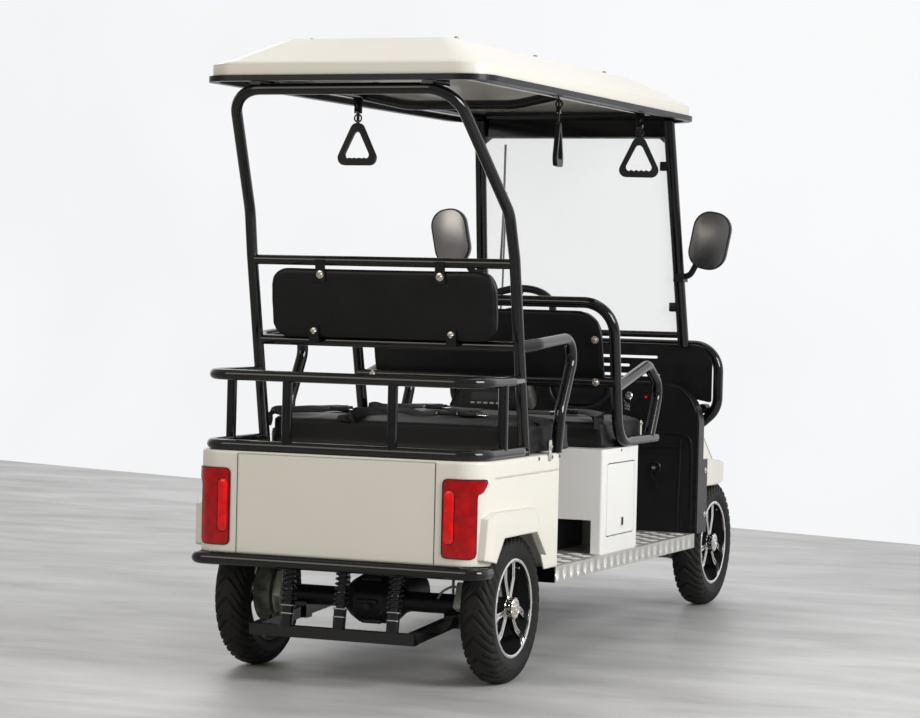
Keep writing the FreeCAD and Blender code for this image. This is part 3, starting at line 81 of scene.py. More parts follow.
def feed(tree, node, values):
    """Gives inputs of a node, by name or number, each a plain value or another node's output."""
    for name, value in values.items():
        if isinstance(value, bpy.types.NodeSocket):
            tree.links.new(value, node.inputs[name])
        else:
            node.inputs[name].default_value = value


def ramp_colour(tree, source, low, high, start=0.35, stop=0.65):
    """A colour that runs from low to high with the source value."""
    ramp = tree.nodes.new("ShaderNodeValToRGB")
    first, last = ramp.color_ramp.elements
    first.position, first.color = start, (*low, 1)
    last.position, last.color = stop, (*high, 1)
    feed(tree, ramp, {"Fac": source})
    return ramp.outputs["Color"]


def noise(tree, scale, detail=3, rough=0.5, stretch=(1, 1, 1)):
    """Noise in the object's own coordinates, which are metres."""
    coords = tree.nodes.new("ShaderNodeTexCoord")
    mapping = tree.nodes.new("ShaderNodeMapping")
    texture = tree.nodes.new("ShaderNodeTexNoise")
    feed(tree, mapping, {"Vector": coords.outputs["Object"], "Scale": stretch})
    feed(tree, texture, {"Vector": mapping.outputs["Vector"], "Scale": scale, "Detail": detail,
                         "Roughness": rough})
    return texture.outputs["Fac"]


def bump(tree, shader, height, strength, distance):
    node = tree.nodes.new("ShaderNodeBump")
    feed(tree, node, {"Height": height, "Strength": strength, "Distance": distance})
    feed(tree, shader, {"Normal": node.outputs["Normal"]})


def soften(tree, shader, radius):
    """Edges shaded as if rounded, under whatever bump the shader has."""
    edge = tree.nodes.new("ShaderNodeBevel")
    edge.samples = 4
    edge.inputs["Radius"].default_value = radius
    relief = shader.inputs["Normal"].links[0].from_node
    feed(tree, relief, {"Normal": edge.outputs["Normal"]})


def span(tree, source, low, high, start=0.3, stop=0.7):
    """The source value carried from start..stop to low..high."""
    node = tree.nodes.new("ShaderNodeMapRange")
    feed(tree, node, {"Value": source, "From Min": start, "From Max": stop, "To Min": low,
                      "To Max": high})
    return node.outputs["Result"]


def maths(tree, operation, *values):
    """A maths node on values that are each a number or another node's output."""
    node = tree.nodes.new("ShaderNodeMath")
    node.operation = operation
    feed(tree, node, dict(enumerate(values)))
    return node.outputs["Value"]


def object_parts(tree, kind):
    """X, Y and Z of the object's own coordinates or normal."""
    coords = tree.nodes.new("ShaderNodeTexCoord")
    parts = tree.nodes.new("ShaderNodeSeparateXYZ")
    feed(tree, parts, {"Vector": coords.outputs[kind]})
    return parts.outputs


FINISHES = {
    # name: (dark colour, light colour, noise scale, roughness low, high, metallic, coat,
    #        bump scale, bump strength, bump depth in m)
    "cream_body": ((0.765, 0.735, 0.655), (0.785, 0.755, 0.675), 3, 0.3, 0.38, 0, 0.2,
                   60, 0.05, 0.0004),
    "white_sheet": ((0.82, 0.815, 0.79), (0.85, 0.845, 0.82), 5, 0.28, 0.36, 0, 0.3,
                    90, 0.05, 0.0003),
    "black_tube": ((0.0025, 0.0025, 0.0028), (0.005, 0.005, 0.0055), 30, 0.07, 0.14, 0, 0.45,
                   260, 0.05, 0.0002),
    "black_moulding": ((0.005, 0.005, 0.0055), (0.009, 0.009, 0.01), 12, 0.3, 0.42, 0, 0.05,
                       700, 0.15, 0.0003),
    "black_vinyl": ((0.0045, 0.0045, 0.005), (0.009, 0.009, 0.0095), 9, 0.36, 0.5, 0, 0,
                    420, 0.3, 0.0005),
    "floor_aluminium": ((0.5, 0.49, 0.46), (0.66, 0.65, 0.62), 14, 0.38, 0.5, 0.7, 0,
                        300, 0.1, 0.0003),
    "tyre_rubber": ((0.007, 0.0068, 0.0065), (0.017, 0.0165, 0.0155), 18, 0.5, 0.7, 0, 0,
                    350, 0.2, 0.0004),
    "steel": ((0.16, 0.165, 0.16), (0.34, 0.345, 0.33), 22, 0.34, 0.5, 0.9, 0,
              260, 0.2, 0.0004),
    "cast_motor": ((0.008, 0.008, 0.009), (0.022, 0.022, 0.024), 25, 0.4, 0.6, 0.3, 0,
                   240, 0.35, 0.0006),
    "battery_case": ((0.02, 0.02, 0.023), (0.035, 0.035, 0.038), 8, 0.45, 0.6, 0, 0,
                     300, 0.2, 0.0005),
    "chrome": ((0.68, 0.67, 0.66), (0.8, 0.79, 0.78), 50, 0.07, 0.15, 1, 0, 300, 0.03, 0.0002),
    "brass": ((0.62, 0.58, 0.5), (0.78, 0.75, 0.68), 60, 0.16, 0.28, 1, 0, 300, 0.08, 0.0002),
    "drum_metal": ((0.4, 0.405, 0.35), (0.6, 0.605, 0.54), 26, 0.35, 0.55, 0.3, 0,
                   200, 0.35, 0.0008),
    "webbing": ((0.006, 0.006, 0.007), (0.016, 0.016, 0.018), 160, 0.6, 0.75, 0, 0,
                1200, 0.4, 0.0006),
    "mirror_face": ((0.22, 0.22, 0.225), (0.34, 0.34, 0.345), 4, 0.26, 0.32, 1, 0,
                    30, 0.01, 0.0001),
}
LENSES = {  # colour, roughness, transmission, glow
    "lamp_red": ((0.4, 0.001, 0.002), 0.1, 0.0, 0.22),
    "lamp_glow": ((0.66, 0.002, 0.003), 0.12, 0.0, 0.5),
    "lamp_amber": ((0.85, 0.32, 0.02), 0.12, 0.0, 0.0),
    "lamp_clear": ((0.85, 0.87, 0.88), 0.04, 0.4, 0.0),
}
EDGE_ROUND = {"cream_body": 0.009, "white_sheet": 0.003, "black_moulding": 0.0025}  # metres
DARK_BELOW, DARK_SPECULAR = 0.05, 0.24  # black paint and rubber mirror less than clear resin
RIB_WAVES = 2 * pi / 0.0056  # one rib of a lens every 5.6 mm
FACES_OUT = 0.55  # how straight a wheel's face looks outwards where it was machined bright
DRUM_START = 0.333  # metres from the middle to the bare drums on the axle


def make_finish(name):
    low, high, scale, smooth, dull, metallic, coat, grain, strength, depth = FINISHES[name]
    material, tree, shader = new_material(name)
    tone = noise(tree, scale)
    feed(tree, shader, {"Base Color": ramp_colour(tree, tone, low, high, 0.2, 0.8),
                        "Roughness": span(tree, tone, smooth, dull, 0.1, 0.9),
                        "Metallic": metallic, "Coat Weight": coat, "Coat Roughness": 0.08})
    if not metallic and high[0] < DARK_BELOW:
        feed(tree, shader, {"Specular IOR Level": DARK_SPECULAR})
    bump(tree, shader, noise(tree, grain, 2), strength, depth)
    if name in EDGE_ROUND:
        soften(tree, shader, EDGE_ROUND[name])
    return material


def make_lens(name, colour, roughness, transmission, glow):
    """Moulded lens with fine level ribs every few millimetres."""
    material, tree, shader = new_material(name)
    place = object_parts(tree, "Object")
    wave = maths(tree, "SINE", maths(tree, "MULTIPLY", place["Z"], RIB_WAVES))
    ribs = maths(tree, "MULTIPLY_ADD", wave, 0.16, noise(tree, 30, 1))
    tint = ramp_colour(tree, ribs, tuple(0.6 * c for c in colour), colour)
    feed(tree, shader, {"Base Color": tint, "Roughness": roughness, "IOR": 1.45,
                        "Transmission Weight": transmission, "Coat Weight": 0.15})
    if glow:
        feed(tree, shader, {"Emission Color": tint, "Emission Strength": glow})
    bump(tree, shader, ribs, 0.12, 0.0005)
    return material


def make_glass():
    """Thin clear sheet: mostly see-through, with the reflection of a pane."""
    material, tree, shader = new_material("screen_glass")
    tint = ramp_colour(tree, noise(tree, 6), (0.86, 0.89, 0.89), (0.92, 0.94, 0.94))
    feed(tree, shader, {"Base Color": tint, "Roughness": 0.03, "Alpha": 0.13})
    return material


def make_rim_alloy():
    """Black wheel with machined outer faces: bright where it faces straight out."""
    material, tree, shader = new_material("rim_alloy")
    normal, place = object_parts(tree, "Normal"), object_parts(tree, "Object")
    facing = maths(tree, "MULTIPLY", normal["X"], maths(tree, "SIGN", place["X"]))
    bright = maths(tree, "GREATER_THAN", facing, FACES_OUT)
    shade = maths(tree, "MULTIPLY_ADD", bright, 0.8, span(tree, noise(tree, 60), 0.0, 0.08))
    tint = ramp_colour(tree, shade, (0.012, 0.012, 0.013), (0.74, 0.73, 0.71), 0.1, 0.8)
    feed(tree, shader, {"Base Color": tint, "Metallic": bright,
                        "Roughness": span(tree, shade, 0.3, 0.16, 0.1, 0.8)})
    bump(tree, shader, noise(tree, 300, 2), 0.05, 0.0002)
    return material


def make_axle_steel():
    """Black painted axle with bare drums outside."""
    material, tree, shader = new_material("axle_steel")
    place = object_parts(tree, "Object")
    bare = maths(tree, "GREATER_THAN", maths(tree, "ABSOLUTE", place["X"]), DRUM_START)
    shade = maths(tree, "MULTIPLY_ADD", bare, 0.5, span(tree, noise(tree, 30, 4), 0.0, 0.4))
    tint = ramp_colour(tree, shade, (0.006, 0.006, 0.007), (0.36, 0.37, 0.32), 0.35, 0.85)
    feed(tree, shader, {"Base Color": tint, "Roughness": 0.42, "Metallic": 0.4})
    bump(tree, shader, noise(tree, 160, 3), 0.25, 0.0006)
    return material


materials = {name: make_finish(name) for name in FINISHES}
for name, values in LENSES.items():
    materials[name] = make_lens(name, *values)
materials.update(screen_glass=make_glass(), rim_alloy=make_rim_alloy(),
                 axle_steel=make_axle_steel())
NODE_FINISH = {"rear_axle": "axle_steel", **dict.fromkeys(
    ("rear_dampers", "front_axle", "knuckle_left", "knuckle_right"), "black_tube")}


def paint(piece, name):
    """One finish on the whole piece."""
    piece.data.materials.clear()
    piece.data.materials.append(materials[name])


for row in frame["record"]["subparts"]:
    label, slot = row["node"], row["material_slot"]
    paint(nodes[label], "rim_alloy" if slot == "alloy" else NODE_FINISH.get(label, slot))


# ---- building pieces
def turns(count, start=0.0):
    """Angles of a full turn in equal steps."""
    return [start + 2 * pi * k / count for k in range(count)]


def circle(centre, u, v, radius, steps):
    """Points of a circle in the plane of u and v."""
    return [Vector(centre) + radius * (cos(t) * u + sin(t) * v) for t in turns(steps)]


def even_loop(points, step):
    """Points about a step apart along the sides of a closed loop."""
    points, dense = [Vector(p) for p in points], []
    for a, b in zip(points, points[1:] + points[:1]):
        count = max(1, int((b - a).length / step))
        dense.extend(a + (b - a) * (k / count) for k in range(count))
    return dense


def link(name, data):
    """A new object in the scene."""
    made = bpy.data.objects.new(name, data)
    scene.collection.objects.link(made)
    return made


def swept(path, close):
    """Side and up directions along a path, without twist."""
    count, frames, side = len(path), [], None
    for i in range(count):
        back = path[i - 1] if i > 0 or close else path[i]
        ahead = path[(i + 1) % count] if i < count - 1 or close else path[i]
        aim = (ahead - back).normalized()
        side = aim.orthogonal() if side is None else side
        side = (side - side.dot(aim) * aim).normalized()
        frames.append((side, aim.cross(side)))
    return frames


def smooth_path(points, steps=8):
    """A curve through the points."""
    points = [Vector(p) for p in points]
    ends = [2 * points[0] - points[1]] + points + [2 * points[-1] - points[-2]]
    path = []
    for a, b, c, d in zip(ends, ends[1:], ends[2:], ends[3:]):
        for k in range(steps):
            t = k / steps
            path.append(0.5 * (2 * b + (c - a) * t + (2 * a - 5 * b + 4 * c - d) * t * t
                               + (3 * b - a - 3 * c + d) * t ** 3))
    return path + [points[-1]]


class Shape:
    """Collects the faces of a new piece in mm, then makes it."""

    def __init__(self):
        self.points, self.faces = [], []

    def skin(self, rings, caps=True, close=False):
        """Joins rings of equal length in order."""
        start, count = len(self.points), len(rings[0])
        for ring in rings:
            self.points.extend(Vector(p) for p in ring)
        for i in range(len(rings) if close else len(rings) - 1):
            a, b = start + i * count, start + (i + 1) % len(rings) * count
            for k in range(count):
                n = (k + 1) % count
                self.faces.append((a + k, a + n, b + n, b + k))
        if caps and not close:
            last = start + (len(rings) - 1) * count
            self.faces.append(tuple(range(start, start + count)))
            self.faces.append(tuple(range(last, last + count)))

    def lathe(self, centre, axis, profile, steps=24):
        """Turns (radius, distance along) pairs about an axis."""
        centre, axis = Vector(centre), Vector(axis).normalized()
        side = axis.orthogonal().normalized()
        up = axis.cross(side)
        self.skin([circle(centre + axis * along, side, up, radius, steps)
                   for radius, along in profile])

    def tube(self, path, radius, sides=10, close=False):
        """A round bar along a path."""
        path = [Vector(p) for p in path]
        self.skin([circle(p, side, up, radius, sides)
                   for p, (side, up) in zip(path, swept(path, close))], close=close)

    def strap(self, path, across, width, thick):
        """A flat band along a path, its width lying across."""
        half, edge, rings = width / 2, thick / 2, []
        for i, p in enumerate(path):
            aim = (path[min(i + 1, len(path) - 1)] - path[max(i - 1, 0)]).normalized()
            wide = (Vector(across) - Vector(across).dot(aim) * aim).normalized()
            up = aim.cross(wide)
            rings.append([p + wide * a + up * b for a, b in (
                (-half, -edge / 2), (edge - half, -edge), (half - edge, -edge), (half, -edge / 2),
                (half, edge / 2), (half - edge, edge), (edge - half, edge), (-half, edge / 2))])
        self.skin(rings)

    def stack(self, centre, axes, half_u, half_v, corner, levels, steps=6, low=None):
        """Skins rounded rectangles, one at each (inset, height) level."""
        centre, u, v, n = (Vector(a) for a in (centre, *axes))
        self.skin([[centre + u * a + v * b + n * h
                    for a, b in rounded_ring(half_u, half_v, corner, inset, steps, low)]
                   for inset, h in levels])

    def block(self, centre, u, v, n, half_u, half_v, thick, corner=3.0, edge=1.0):
        """A rounded slab that stands thick along n on its base centre."""
        self.stack(centre, (u, v, n), half_u, half_v, corner, (
            (edge, 0), (0, edge), (0, thick - edge), (edge * 0.3, thick - edge * 0.3),
            (edge, thick)), 4)

    def make(self, name, place=CHASSIS, sharp=35):
        """The shape as an object, its faces looking out; edges over sharp degrees stay crisp."""
        mesh = bpy.data.meshes.new(name)
        mesh.from_pydata([place @ p for p in self.points], [], self.faces)
        work = bmesh.new()
        work.from_mesh(mesh)
        bmesh.ops.recalc_face_normals(work, faces=work.faces)
        work.to_mesh(mesh)
        work.free()
        mesh.shade_smooth()
        mesh.set_sharp_from_angle(angle=radians(sharp))
        return link(name, mesh)

    def piece(self, name, finish, body="chassis", place=CHASSIS, sharp=35):
        return dress(self.make(name, place, sharp), finish, body)


def rounded_ring(half_u, half_v, corner, inset=0.0, steps=6, low=None):
    """Points of a rounded rectangle, shrunk by an inset; low is the radius at its bottom."""
    a, b = half_u - inset, half_v - inset
    ring = []
    for quarter, (su, sv) in enumerate(((1, 1), (-1, 1), (-1, -1), (1, -1))):
        r = max((low if low is not None and sv < 0 else corner) - inset, 0.5)
        for k in range(steps + 1):
            t = pi / 2 * (quarter + k / steps)
            ring.append((su * (a - r) + r * cos(t), sv * (b - r) + r * sin(t)))
    return ring


def dress(made, finish, body):
    """Gives a piece its finish and its body."""
    paint(made, finish)
    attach(made, body)
    return made


def bolt(shape, place, aim, head=5.0, washer=9.0):
    """A dome head bolt on its washer, with a socket in the head."""
    rise = head * 0.7
    shape.lathe(place, aim, ((washer, 0), (washer, 1.4), (washer - 1, 1.9), (head + 0.6, 1.9),
                             (head, 2.2), (head * 0.9, 1.9 + rise * 0.7), (head * 0.6, 1.9 + rise),
                             (head * 0.5, 1.9 + rise), (head * 0.45, 1.9 + rise * 0.4),
                             (0.3, 1.9 + rise * 0.4)), 18)


RIGHT, AHEAD, UP = Vector((1, 0, 0)), Vector((0, 1, 0)), Vector((0, 0, 1))
BACK, DOWN = -AHEAD, -UP

# ---- tyres
TYRE_RAD, CHEVRONS, SLITS = 236.5, 20, 40
TYRE_SECTION = (  # distance across and radius, from the crown to the bead
    (0, 236.4), (10, 236.2), (20, 235.2), (30, 232.6), (38.5, 228.4), (45.5, 221.5),
    (50, 212.5), (52.4, 201), (53, 190), (51.6, 177), (47.5, 165.5), (43.5, 158), (40.2, 152.6))
# lengths along the section from the crown, where each kind of groove begins and ends
SHORT_START, TREAD_END, SLIT_START, SLIT_END = 22, 64, 52, 80
MAIN_DEPTH, SHORT_DEPTH, SLIT_DEPTH = 6.5, 5.5, 5.0
WALL_RINGS = ((112, 1.1, 2.5), (82, 0.8, 2))  # length, height and half width
WHEELS = ("rear_left", "rear_right", "front_left", "front_right")


def tyre_section(count=33):
    """Half the section at equal steps of its length: across, radius, length."""
    pairs = np.array(TYRE_SECTION)
    length = np.concatenate(([0], np.cumsum(np.hypot(*np.diff(pairs, axis=0).T))))
    even = np.linspace(0, length[-1], count)
    return np.interp(even, length, pairs[:, 0]), np.interp(even, length, pairs[:, 1]), even


def groove(phase, pitch, half_width, soft=1.6):
    """1 in the middle of each groove and 0 outside, by distance from a whole phase."""
    away = np.abs(phase - np.round(phase)) * pitch
    return np.clip((half_width + soft - away) / soft, 0, 1)


def tyre_points(around=560):
    """Points of the treaded tyre about the X axis, in rings across the section."""
    half_x, half_r, length = tyre_section()
    across = np.concatenate((-half_x[:0:-1], half_x))
    radius = np.concatenate((half_r[:0:-1], half_r))
    w = np.concatenate((length[:0:-1], length))[None, :]
    angle = np.linspace(0, 2 * np.pi, around, endpoint=False)[:, None]
    pitch = 2 * np.pi * TYRE_RAD / CHEVRONS
    phase = angle * CHEVRONS / (2 * np.pi) + 0.85 * (w / 56) ** 1.3
    main = groove(phase, pitch, 4.6) * (w < TREAD_END)
    short = groove(phase + 0.5, pitch, 3.4) * ((w > SHORT_START) & (w < TREAD_END))
    slit = groove(angle * SLITS / (2 * np.pi) + 1.7 * w / 60, 2 * np.pi * TYRE_RAD / SLITS, 3.2)
    slit = slit * ((w > SLIT_START) & (w < SLIT_END))
    depth = np.maximum(np.maximum(MAIN_DEPTH * main, SHORT_DEPTH * short), SLIT_DEPTH * slit)
    rise = sum(height * np.exp(-((w - place) / half) ** 2) for place, height, half in WALL_RINGS)
    run_x, run_r = np.gradient(across), np.gradient(radius)
    size = np.hypot(run_x, run_r)
    stand = rise - depth
    x = across - run_r / size * stand
    r = radius + run_x / size * stand
    return np.stack((x, r * np.sin(angle), r * np.cos(angle)), axis=-1)


treads = tyre_points()
around, across_count = treads.shape[:2]
index = np.arange(around * across_count).reshape(around, across_count)
next_index = np.roll(index, -1, axis=0)
tyre_faces = np.stack((index[:, :-1], index[:, 1:], next_index[:, 1:], next_index[:, :-1]),
                      axis=-1).reshape(-1, 4)
for wheel in WHEELS:
    mesh = bpy.data.meshes.new("tread_" + wheel)
    spots = treads.reshape(-1, 3) * MM + np.array(middle("tyre_" + wheel))
    mesh.from_pydata(spots.tolist(), [], tyre_faces.tolist())
    mesh.shade_smooth()
    tread = dress(link("tread_" + wheel, mesh), "tyre_rubber", "wheel_" + wheel)
    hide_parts("tyre_" + wheel)

# ---- wheel trim
HUB_FACE, COG_RAD, COG_DEPTH = 40, 34.5, 3.2
ARM_APART = 33  # from a spoke's middle line to each of its two arms
STRIP_APART = 7.5  # from an arm's middle line to each of its two bright strips
RIM_LIP = ((146.5, 40), (146.2, 45.6), (149, 47.6), (154, 47.8), (157.2, 46), (157.2, 44))
STRIP_WAY = (  # reach from the hub, distance sideways, share of the distance between the strips
    (33, 10, 0.6), (60, 20, 0.8), (88, 32, 1), (96, 33.5, 1), (120, 33.5, 1), (145, 33.5, 1))


def wheel_spot(x, radius, t):
    """A point at an angle about the wheel's own axle."""
    return (x, radius * cos(t), radius * sin(t))


for wheel in WHEELS:
    facing = Matrix.Rotation(pi if "left" in wheel else 0, 4, "Z")
    place = Matrix.Translation(middle("tyre_" + wheel)) @ facing @ Matrix.Scale(MM, 4)
    hub, studs = Shape(), Shape()
    cog = [(COG_RAD if k // 2 % 2 else COG_RAD - COG_DEPTH, t) for k, t in enumerate(turns(56))]
    hub.skin([[wheel_spot(HUB_FACE + x, r - shrink, t) for r, t in cog]
              for x, shrink in ((-14, 0), (10, 0), (11.5, 1.5))])
    hub.lathe((HUB_FACE + 11, 0, 0), RIGHT, ((29, 0), (29, 1.6), (25, 2.2), (23, 0.6), (14, 0.6),
                                            (13, 3.0), (7, 4.2), (6.5, 2.8), (0.3, 2.8)), 36)
    for t in turns(5, 0.3):
        bolt(hub, wheel_spot(HUB_FACE + 11.2, 19, t), RIGHT, 2.4, 3.2)
    studs.skin([[wheel_spot(x, r, t) for t in turns(72)] for r, x in RIM_LIP], caps=False)
    for t in turns(24):
        studs.lathe(wheel_spot(47.6, 151.6, t), RIGHT, ((2.3, 0), (2.2, 1.0), (1.4, 1.7),
                                                       (0.2, 1.9)), 8)
    for t in turns(3):
        outward, sideways = Vector((0, sin(t), cos(t))), Vector((0, cos(t), -sin(t)))
        for side in (-1, 1):
            studs.lathe(RIGHT * 27.5 + outward * 122 + sideways * side * ARM_APART, RIGHT,
                        ((4, 0), (4, 1.2), (3.2, 1.5), (3, 3), (2, 3.8), (0.2, 4)), 12)
            for shift in (-STRIP_APART, STRIP_APART):
                bar = [RIGHT * 29 + outward * r + sideways * (side * w + shift * share)
                       for r, w, share in STRIP_WAY]
                studs.strap(bar, sideways, 6, 5)
    studs.tube(smooth_path([(6, 60, 128), (24, 62, 124), (38, 60, 120)], 4), 3.2, 8)  # valve
    hub.piece("hub_cap_" + wheel, "brass" if "rear" in wheel else "chrome", "wheel_" + wheel, place)
    studs.piece("rim_studs_" + wheel, "chrome", "wheel_" + wheel, place)

# ---- padded seats
Pad = namedtuple("Pad", "node centre u v half_u half_v thick corner low_corner")
PADS = (  # corner radii are at the top and the bottom
    Pad("rear_cushion", (0, 320, 713), RIGHT, AHEAD, 455, 212, 90, 34, 34),
    Pad("front_cushion", (0, 1060, 701), RIGHT, AHEAD, 455, 212, 89, 34, 34),
    Pad("rear_backrest", (0, -21.6, 1175), RIGHT, Vector((0, -0.1521, 0.9884)), 388, 114, 60, 56,
        52),
    Pad("front_backrest", (0, 871.5, 1030), RIGHT, Vector((0, -0.2357, 0.9718)), 428, 138, 54, 86,
        34))
SIM_FRAMES, FILL_MOVE, HELD_LOW = 20, 9, 6  # steps; mm that a point may move; mm held at the back
PAD_EDGE, SEAM_IN, VOXEL = 13, 7, 0.009
FILL = {"quality": 4, "mass": 0.3, "use_pressure": True, "uniform_pressure_force": 4,
        "vertex_group_mass": "held"}


def pad_front(pad):
    """The direction that a pad's face looks, which is up or ahead."""
    n = pad.u.cross(pad.v)
    return n if n.dot(UP) > 0.5 or n.dot(AHEAD) > 0.5 else -n


def pad_point(pad, a, b, height):
    return Vector(pad.centre) + pad.u * a + pad.v * b + pad_front(pad) * height


def pad_start(pad):
    """A pad before it is filled: a rounded slab, remeshed to even quads."""
    shape = Shape()
    levels = [(4, 0), (0, 4)] + [
        (PAD_EDGE * (1 - cos(a)), pad.thick - PAD_EDGE + PAD_EDGE * sin(a))
        for a in (k * pi / 8 for k in range(5))]
    shape.stack(pad.centre, (pad.u, pad.v, pad_front(pad)), pad.half_u, pad.half_v, pad.corner,
                levels, low=pad.low_corner)
    made = shape.make(pad.node + "_pad")
    remesh = made.modifiers.new("even", "REMESH")
    remesh.mode = "VOXEL"
    remesh.voxel_size = VOXEL
    apply_modifiers(made)
    return made


def apply_modifiers(piece):
    graph = bpy.context.evaluated_depsgraph_get()
    mesh = bpy.data.meshes.new_from_object(piece.evaluated_get(graph))
    piece.modifiers.clear()
    piece.data = mesh


def fill_pads(cushions):
    """Cloth simulation of all pads at once, blown up from inside; backs stay flat."""
    starts = []
    for pad, made in cushions:
        held = made.vertex_groups.new(name="held")
        low = [v.index for v in made.data.vertices
               if (CHASSIS_BACK @ v.co - Vector(pad.centre)).dot(pad_front(pad)) < HELD_LOW]
        held.add(low, 1.0, "REPLACE")
        cloth = made.modifiers.new("fill", "CLOTH")
        for setting, value in FILL.items():
            setattr(cloth.settings, setting, value)
        cloth.settings.effector_weights.gravity = 0
        cloth.collision_settings.use_collision = False
        cloth.point_cache.frame_end = SIM_FRAMES
        starts.append([v.co.copy() for v in made.data.vertices])
    for step in range(1, SIM_FRAMES + 1):
        scene.frame_set(step)
    for (pad, made), start in zip(cushions, starts):
        apply_modifiers(made)
        for vertex, was in zip(made.data.vertices, start):
            move = vertex.co - was
            if move.length > FILL_MOVE * MM:
                vertex.co = was + move.normalized() * FILL_MOVE * MM
    scene.frame_set(1)


cushions = [(pad, pad_start(pad)) for pad in PADS]
fill_pads(cushions)
pad_trees = {}
for pad, made in cushions:
    smooth = made.modifiers.new("smooth", "SMOOTH")
    smooth.iterations = 3
    finer = made.modifiers.new("finer", "SUBSURF")
    finer.levels = finer.render_levels = 1
    apply_modifiers(made)
    made.data.shade_smooth()
    dress(made, "black_vinyl", "chassis")
    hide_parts(pad.node)
    spots = [CHASSIS_BACK @ v.co for v in made.data.vertices]
    pad_trees[pad.node] = BVHTree.FromPolygons(spots, [p.vertices[:] for p in made.data.polygons])


def on_pad(node, point):
    return pad_trees[node].find_nearest(Vector(point))[0]


# sewn edges: a welt round the front and back of each pad, and a seam down each cushion corner
for pad in PADS:
    seams = Shape()
    for height in (pad.thick - SEAM_IN, SEAM_IN):
        ring = [pad_point(pad, a, b, height)
                for a, b in rounded_ring(pad.half_u + 8, pad.half_v + 8, pad.corner + 8, 0, 8,
                                         pad.low_corner + 8)]
        seams.tube([on_pad(pad.node, p) for p in even_loop(ring, 18)], 1.9, 6, close=True)
    if "cushion" in pad.node:
        for su in (-1, 1):
            for sv in (-1, 1):
                column = [pad_point(pad, su * (pad.half_u - 2), sv * (pad.half_v - 2),
                                    8 + k * (pad.thick - 16) / 8) for k in range(9)]
                seams.tube([on_pad(pad.node, p) for p in column], 1.2, 6)
    seams.piece(pad.node + "_welt", "black_vinyl")

# ---- rear suspension
AXLE_UP = TYRE_RAD
COIL_RAD, WIRE_RAD, COIL_TURNS, COIL_LENGTH, COIL_STEPS = 21, 3.3, 9, 138, 16
DAMPER_X, DRUM_OUT, CASING_BOLTS, CASING_RIBS = (-160, 20, 200), 331, 8, 6
coils, collars = Shape(), Shape()
for x in DAMPER_X:
    foot, head = Vector((x, -324, 240)), Vector((x, -298, 388))
    aim = (head - foot).normalized()
    side = aim.orthogonal().normalized()
    up = aim.cross(side)
    helix = []
    for k in range(COIL_TURNS * COIL_STEPS + 1):
        share = k / (COIL_TURNS * COIL_STEPS)
        t = 2 * pi * COIL_TURNS * share
        ring = cos(t) * side + sin(t) * up
        helix.append(foot + aim * (6 + COIL_LENGTH * share) + COIL_RAD * ring)
    coils.tube(helix, WIRE_RAD, 8)
    collars.lathe(foot, aim, ((18, -5), (24, -4.4), (24, -2), (22, -0.6), (15, 0)), 28)
    collars.lathe(foot - aim * 30, aim, ((20.2, 0), (21.2, 0.6), (21.2, 3.4), (20.2, 4)), 28)
coils.piece("damper_springs", "black_tube")
collars.piece("damper_collars", "chrome")
drum_plates, levers = Shape(), Shape()
for side in (-1, 1):
    inward = RIGHT * -side
    drum_plates.lathe((side * DRUM_OUT, 0, AXLE_UP), inward, (
        (88, 0), (88, 3), (84, 6), (60, 7), (56, 12), (40, 12), (38, 7)), 40)
    drum_plates.block((side * (DRUM_OUT - 5), -62, 268), Vector((0, 0.38, 0.92)),
                      Vector((0, -0.92, 0.38)), inward, 44, 22, 26, 8, 3)
    for y, z in ((-60, 236), (-60, 300), (30, 300), (60, 220)):
        bolt(levers, (side * (DRUM_OUT - 8), y, z), inward, 6, 10)
    levers.tube(smooth_path([(side * x, y, z) for x, y, z in (
        (300, -70, 300), (288, -84, 300), (262, -92, 284), (246, -88, 262))], 6), 4, 8)
    levers.block((side * 298, -84, 300), AHEAD, UP, inward, 7, 24, 5, 4, 1)
drum_plates.piece("brake_plates", "drum_metal")
levers.piece("brake_levers", "steel")
casing = Shape()
for t in turns(CASING_BOLTS, 0.2):
    bolt(casing, (-46, 64 * cos(t), AXLE_UP + 64 * sin(t)), -RIGHT, 5, 8)
for t in turns(CASING_RIBS):
    casing.lathe((-2, 77 * cos(t), AXLE_UP + 77 * sin(t)), RIGHT,
                 ((7, -34), (8, -32), (8, 30), (7, 34)), 12)
casing.lathe((0, -77, 222), BACK, ((16, -4), (16, 4), (12, 6), (12, 12), (8, 14), (0.3, 14)), 6)
casing.piece("drive_casing_bolts", "cast_motor")

# ---- backrest bolts
brass_bolts = Shape()
BACK_TILT_REAR, BACK_TILT_FRONT = Vector((0, -0.9884, -0.1521)), Vector((0, -0.9718, -0.2357))
for side in (-1, 1):
    for x, y, z in ((208, -41.5, 1268), (239, -13.5, 1084)):
        bolt(brass_bolts, (side * x, y, z), BACK_TILT_REAR, 7.5, 13)
    for x, y, z in ((411, 850, 1068), (417, 853, 924)):
        bolt(brass_bolts, (side * x, y, z), BACK_TILT_FRONT, 7.5, 13)
brass_bolts.piece("backrest_bolts", "brass")

# ---- rear body fittings
CORNER_X, CORNER_Y, CORNER_RAD = 408, -260, 82  # the arc round the tub's rear corner
GLOW_X, GLOW_Z = 384, 541
LENS_EDGE = ((361.5, 430), (361.5, 540), (361.5, 643), (365, 652), (375, 656), (440, 656),
             (490, 656), (503, 655), (506, 648), (499, 634), (490, 621), (482, 616), (472, 612),
             (469.5, 600), (469.5, 520), (469.5, 434), (465, 422), (455, 417), (430, 417),
             (375, 417), (365, 421))


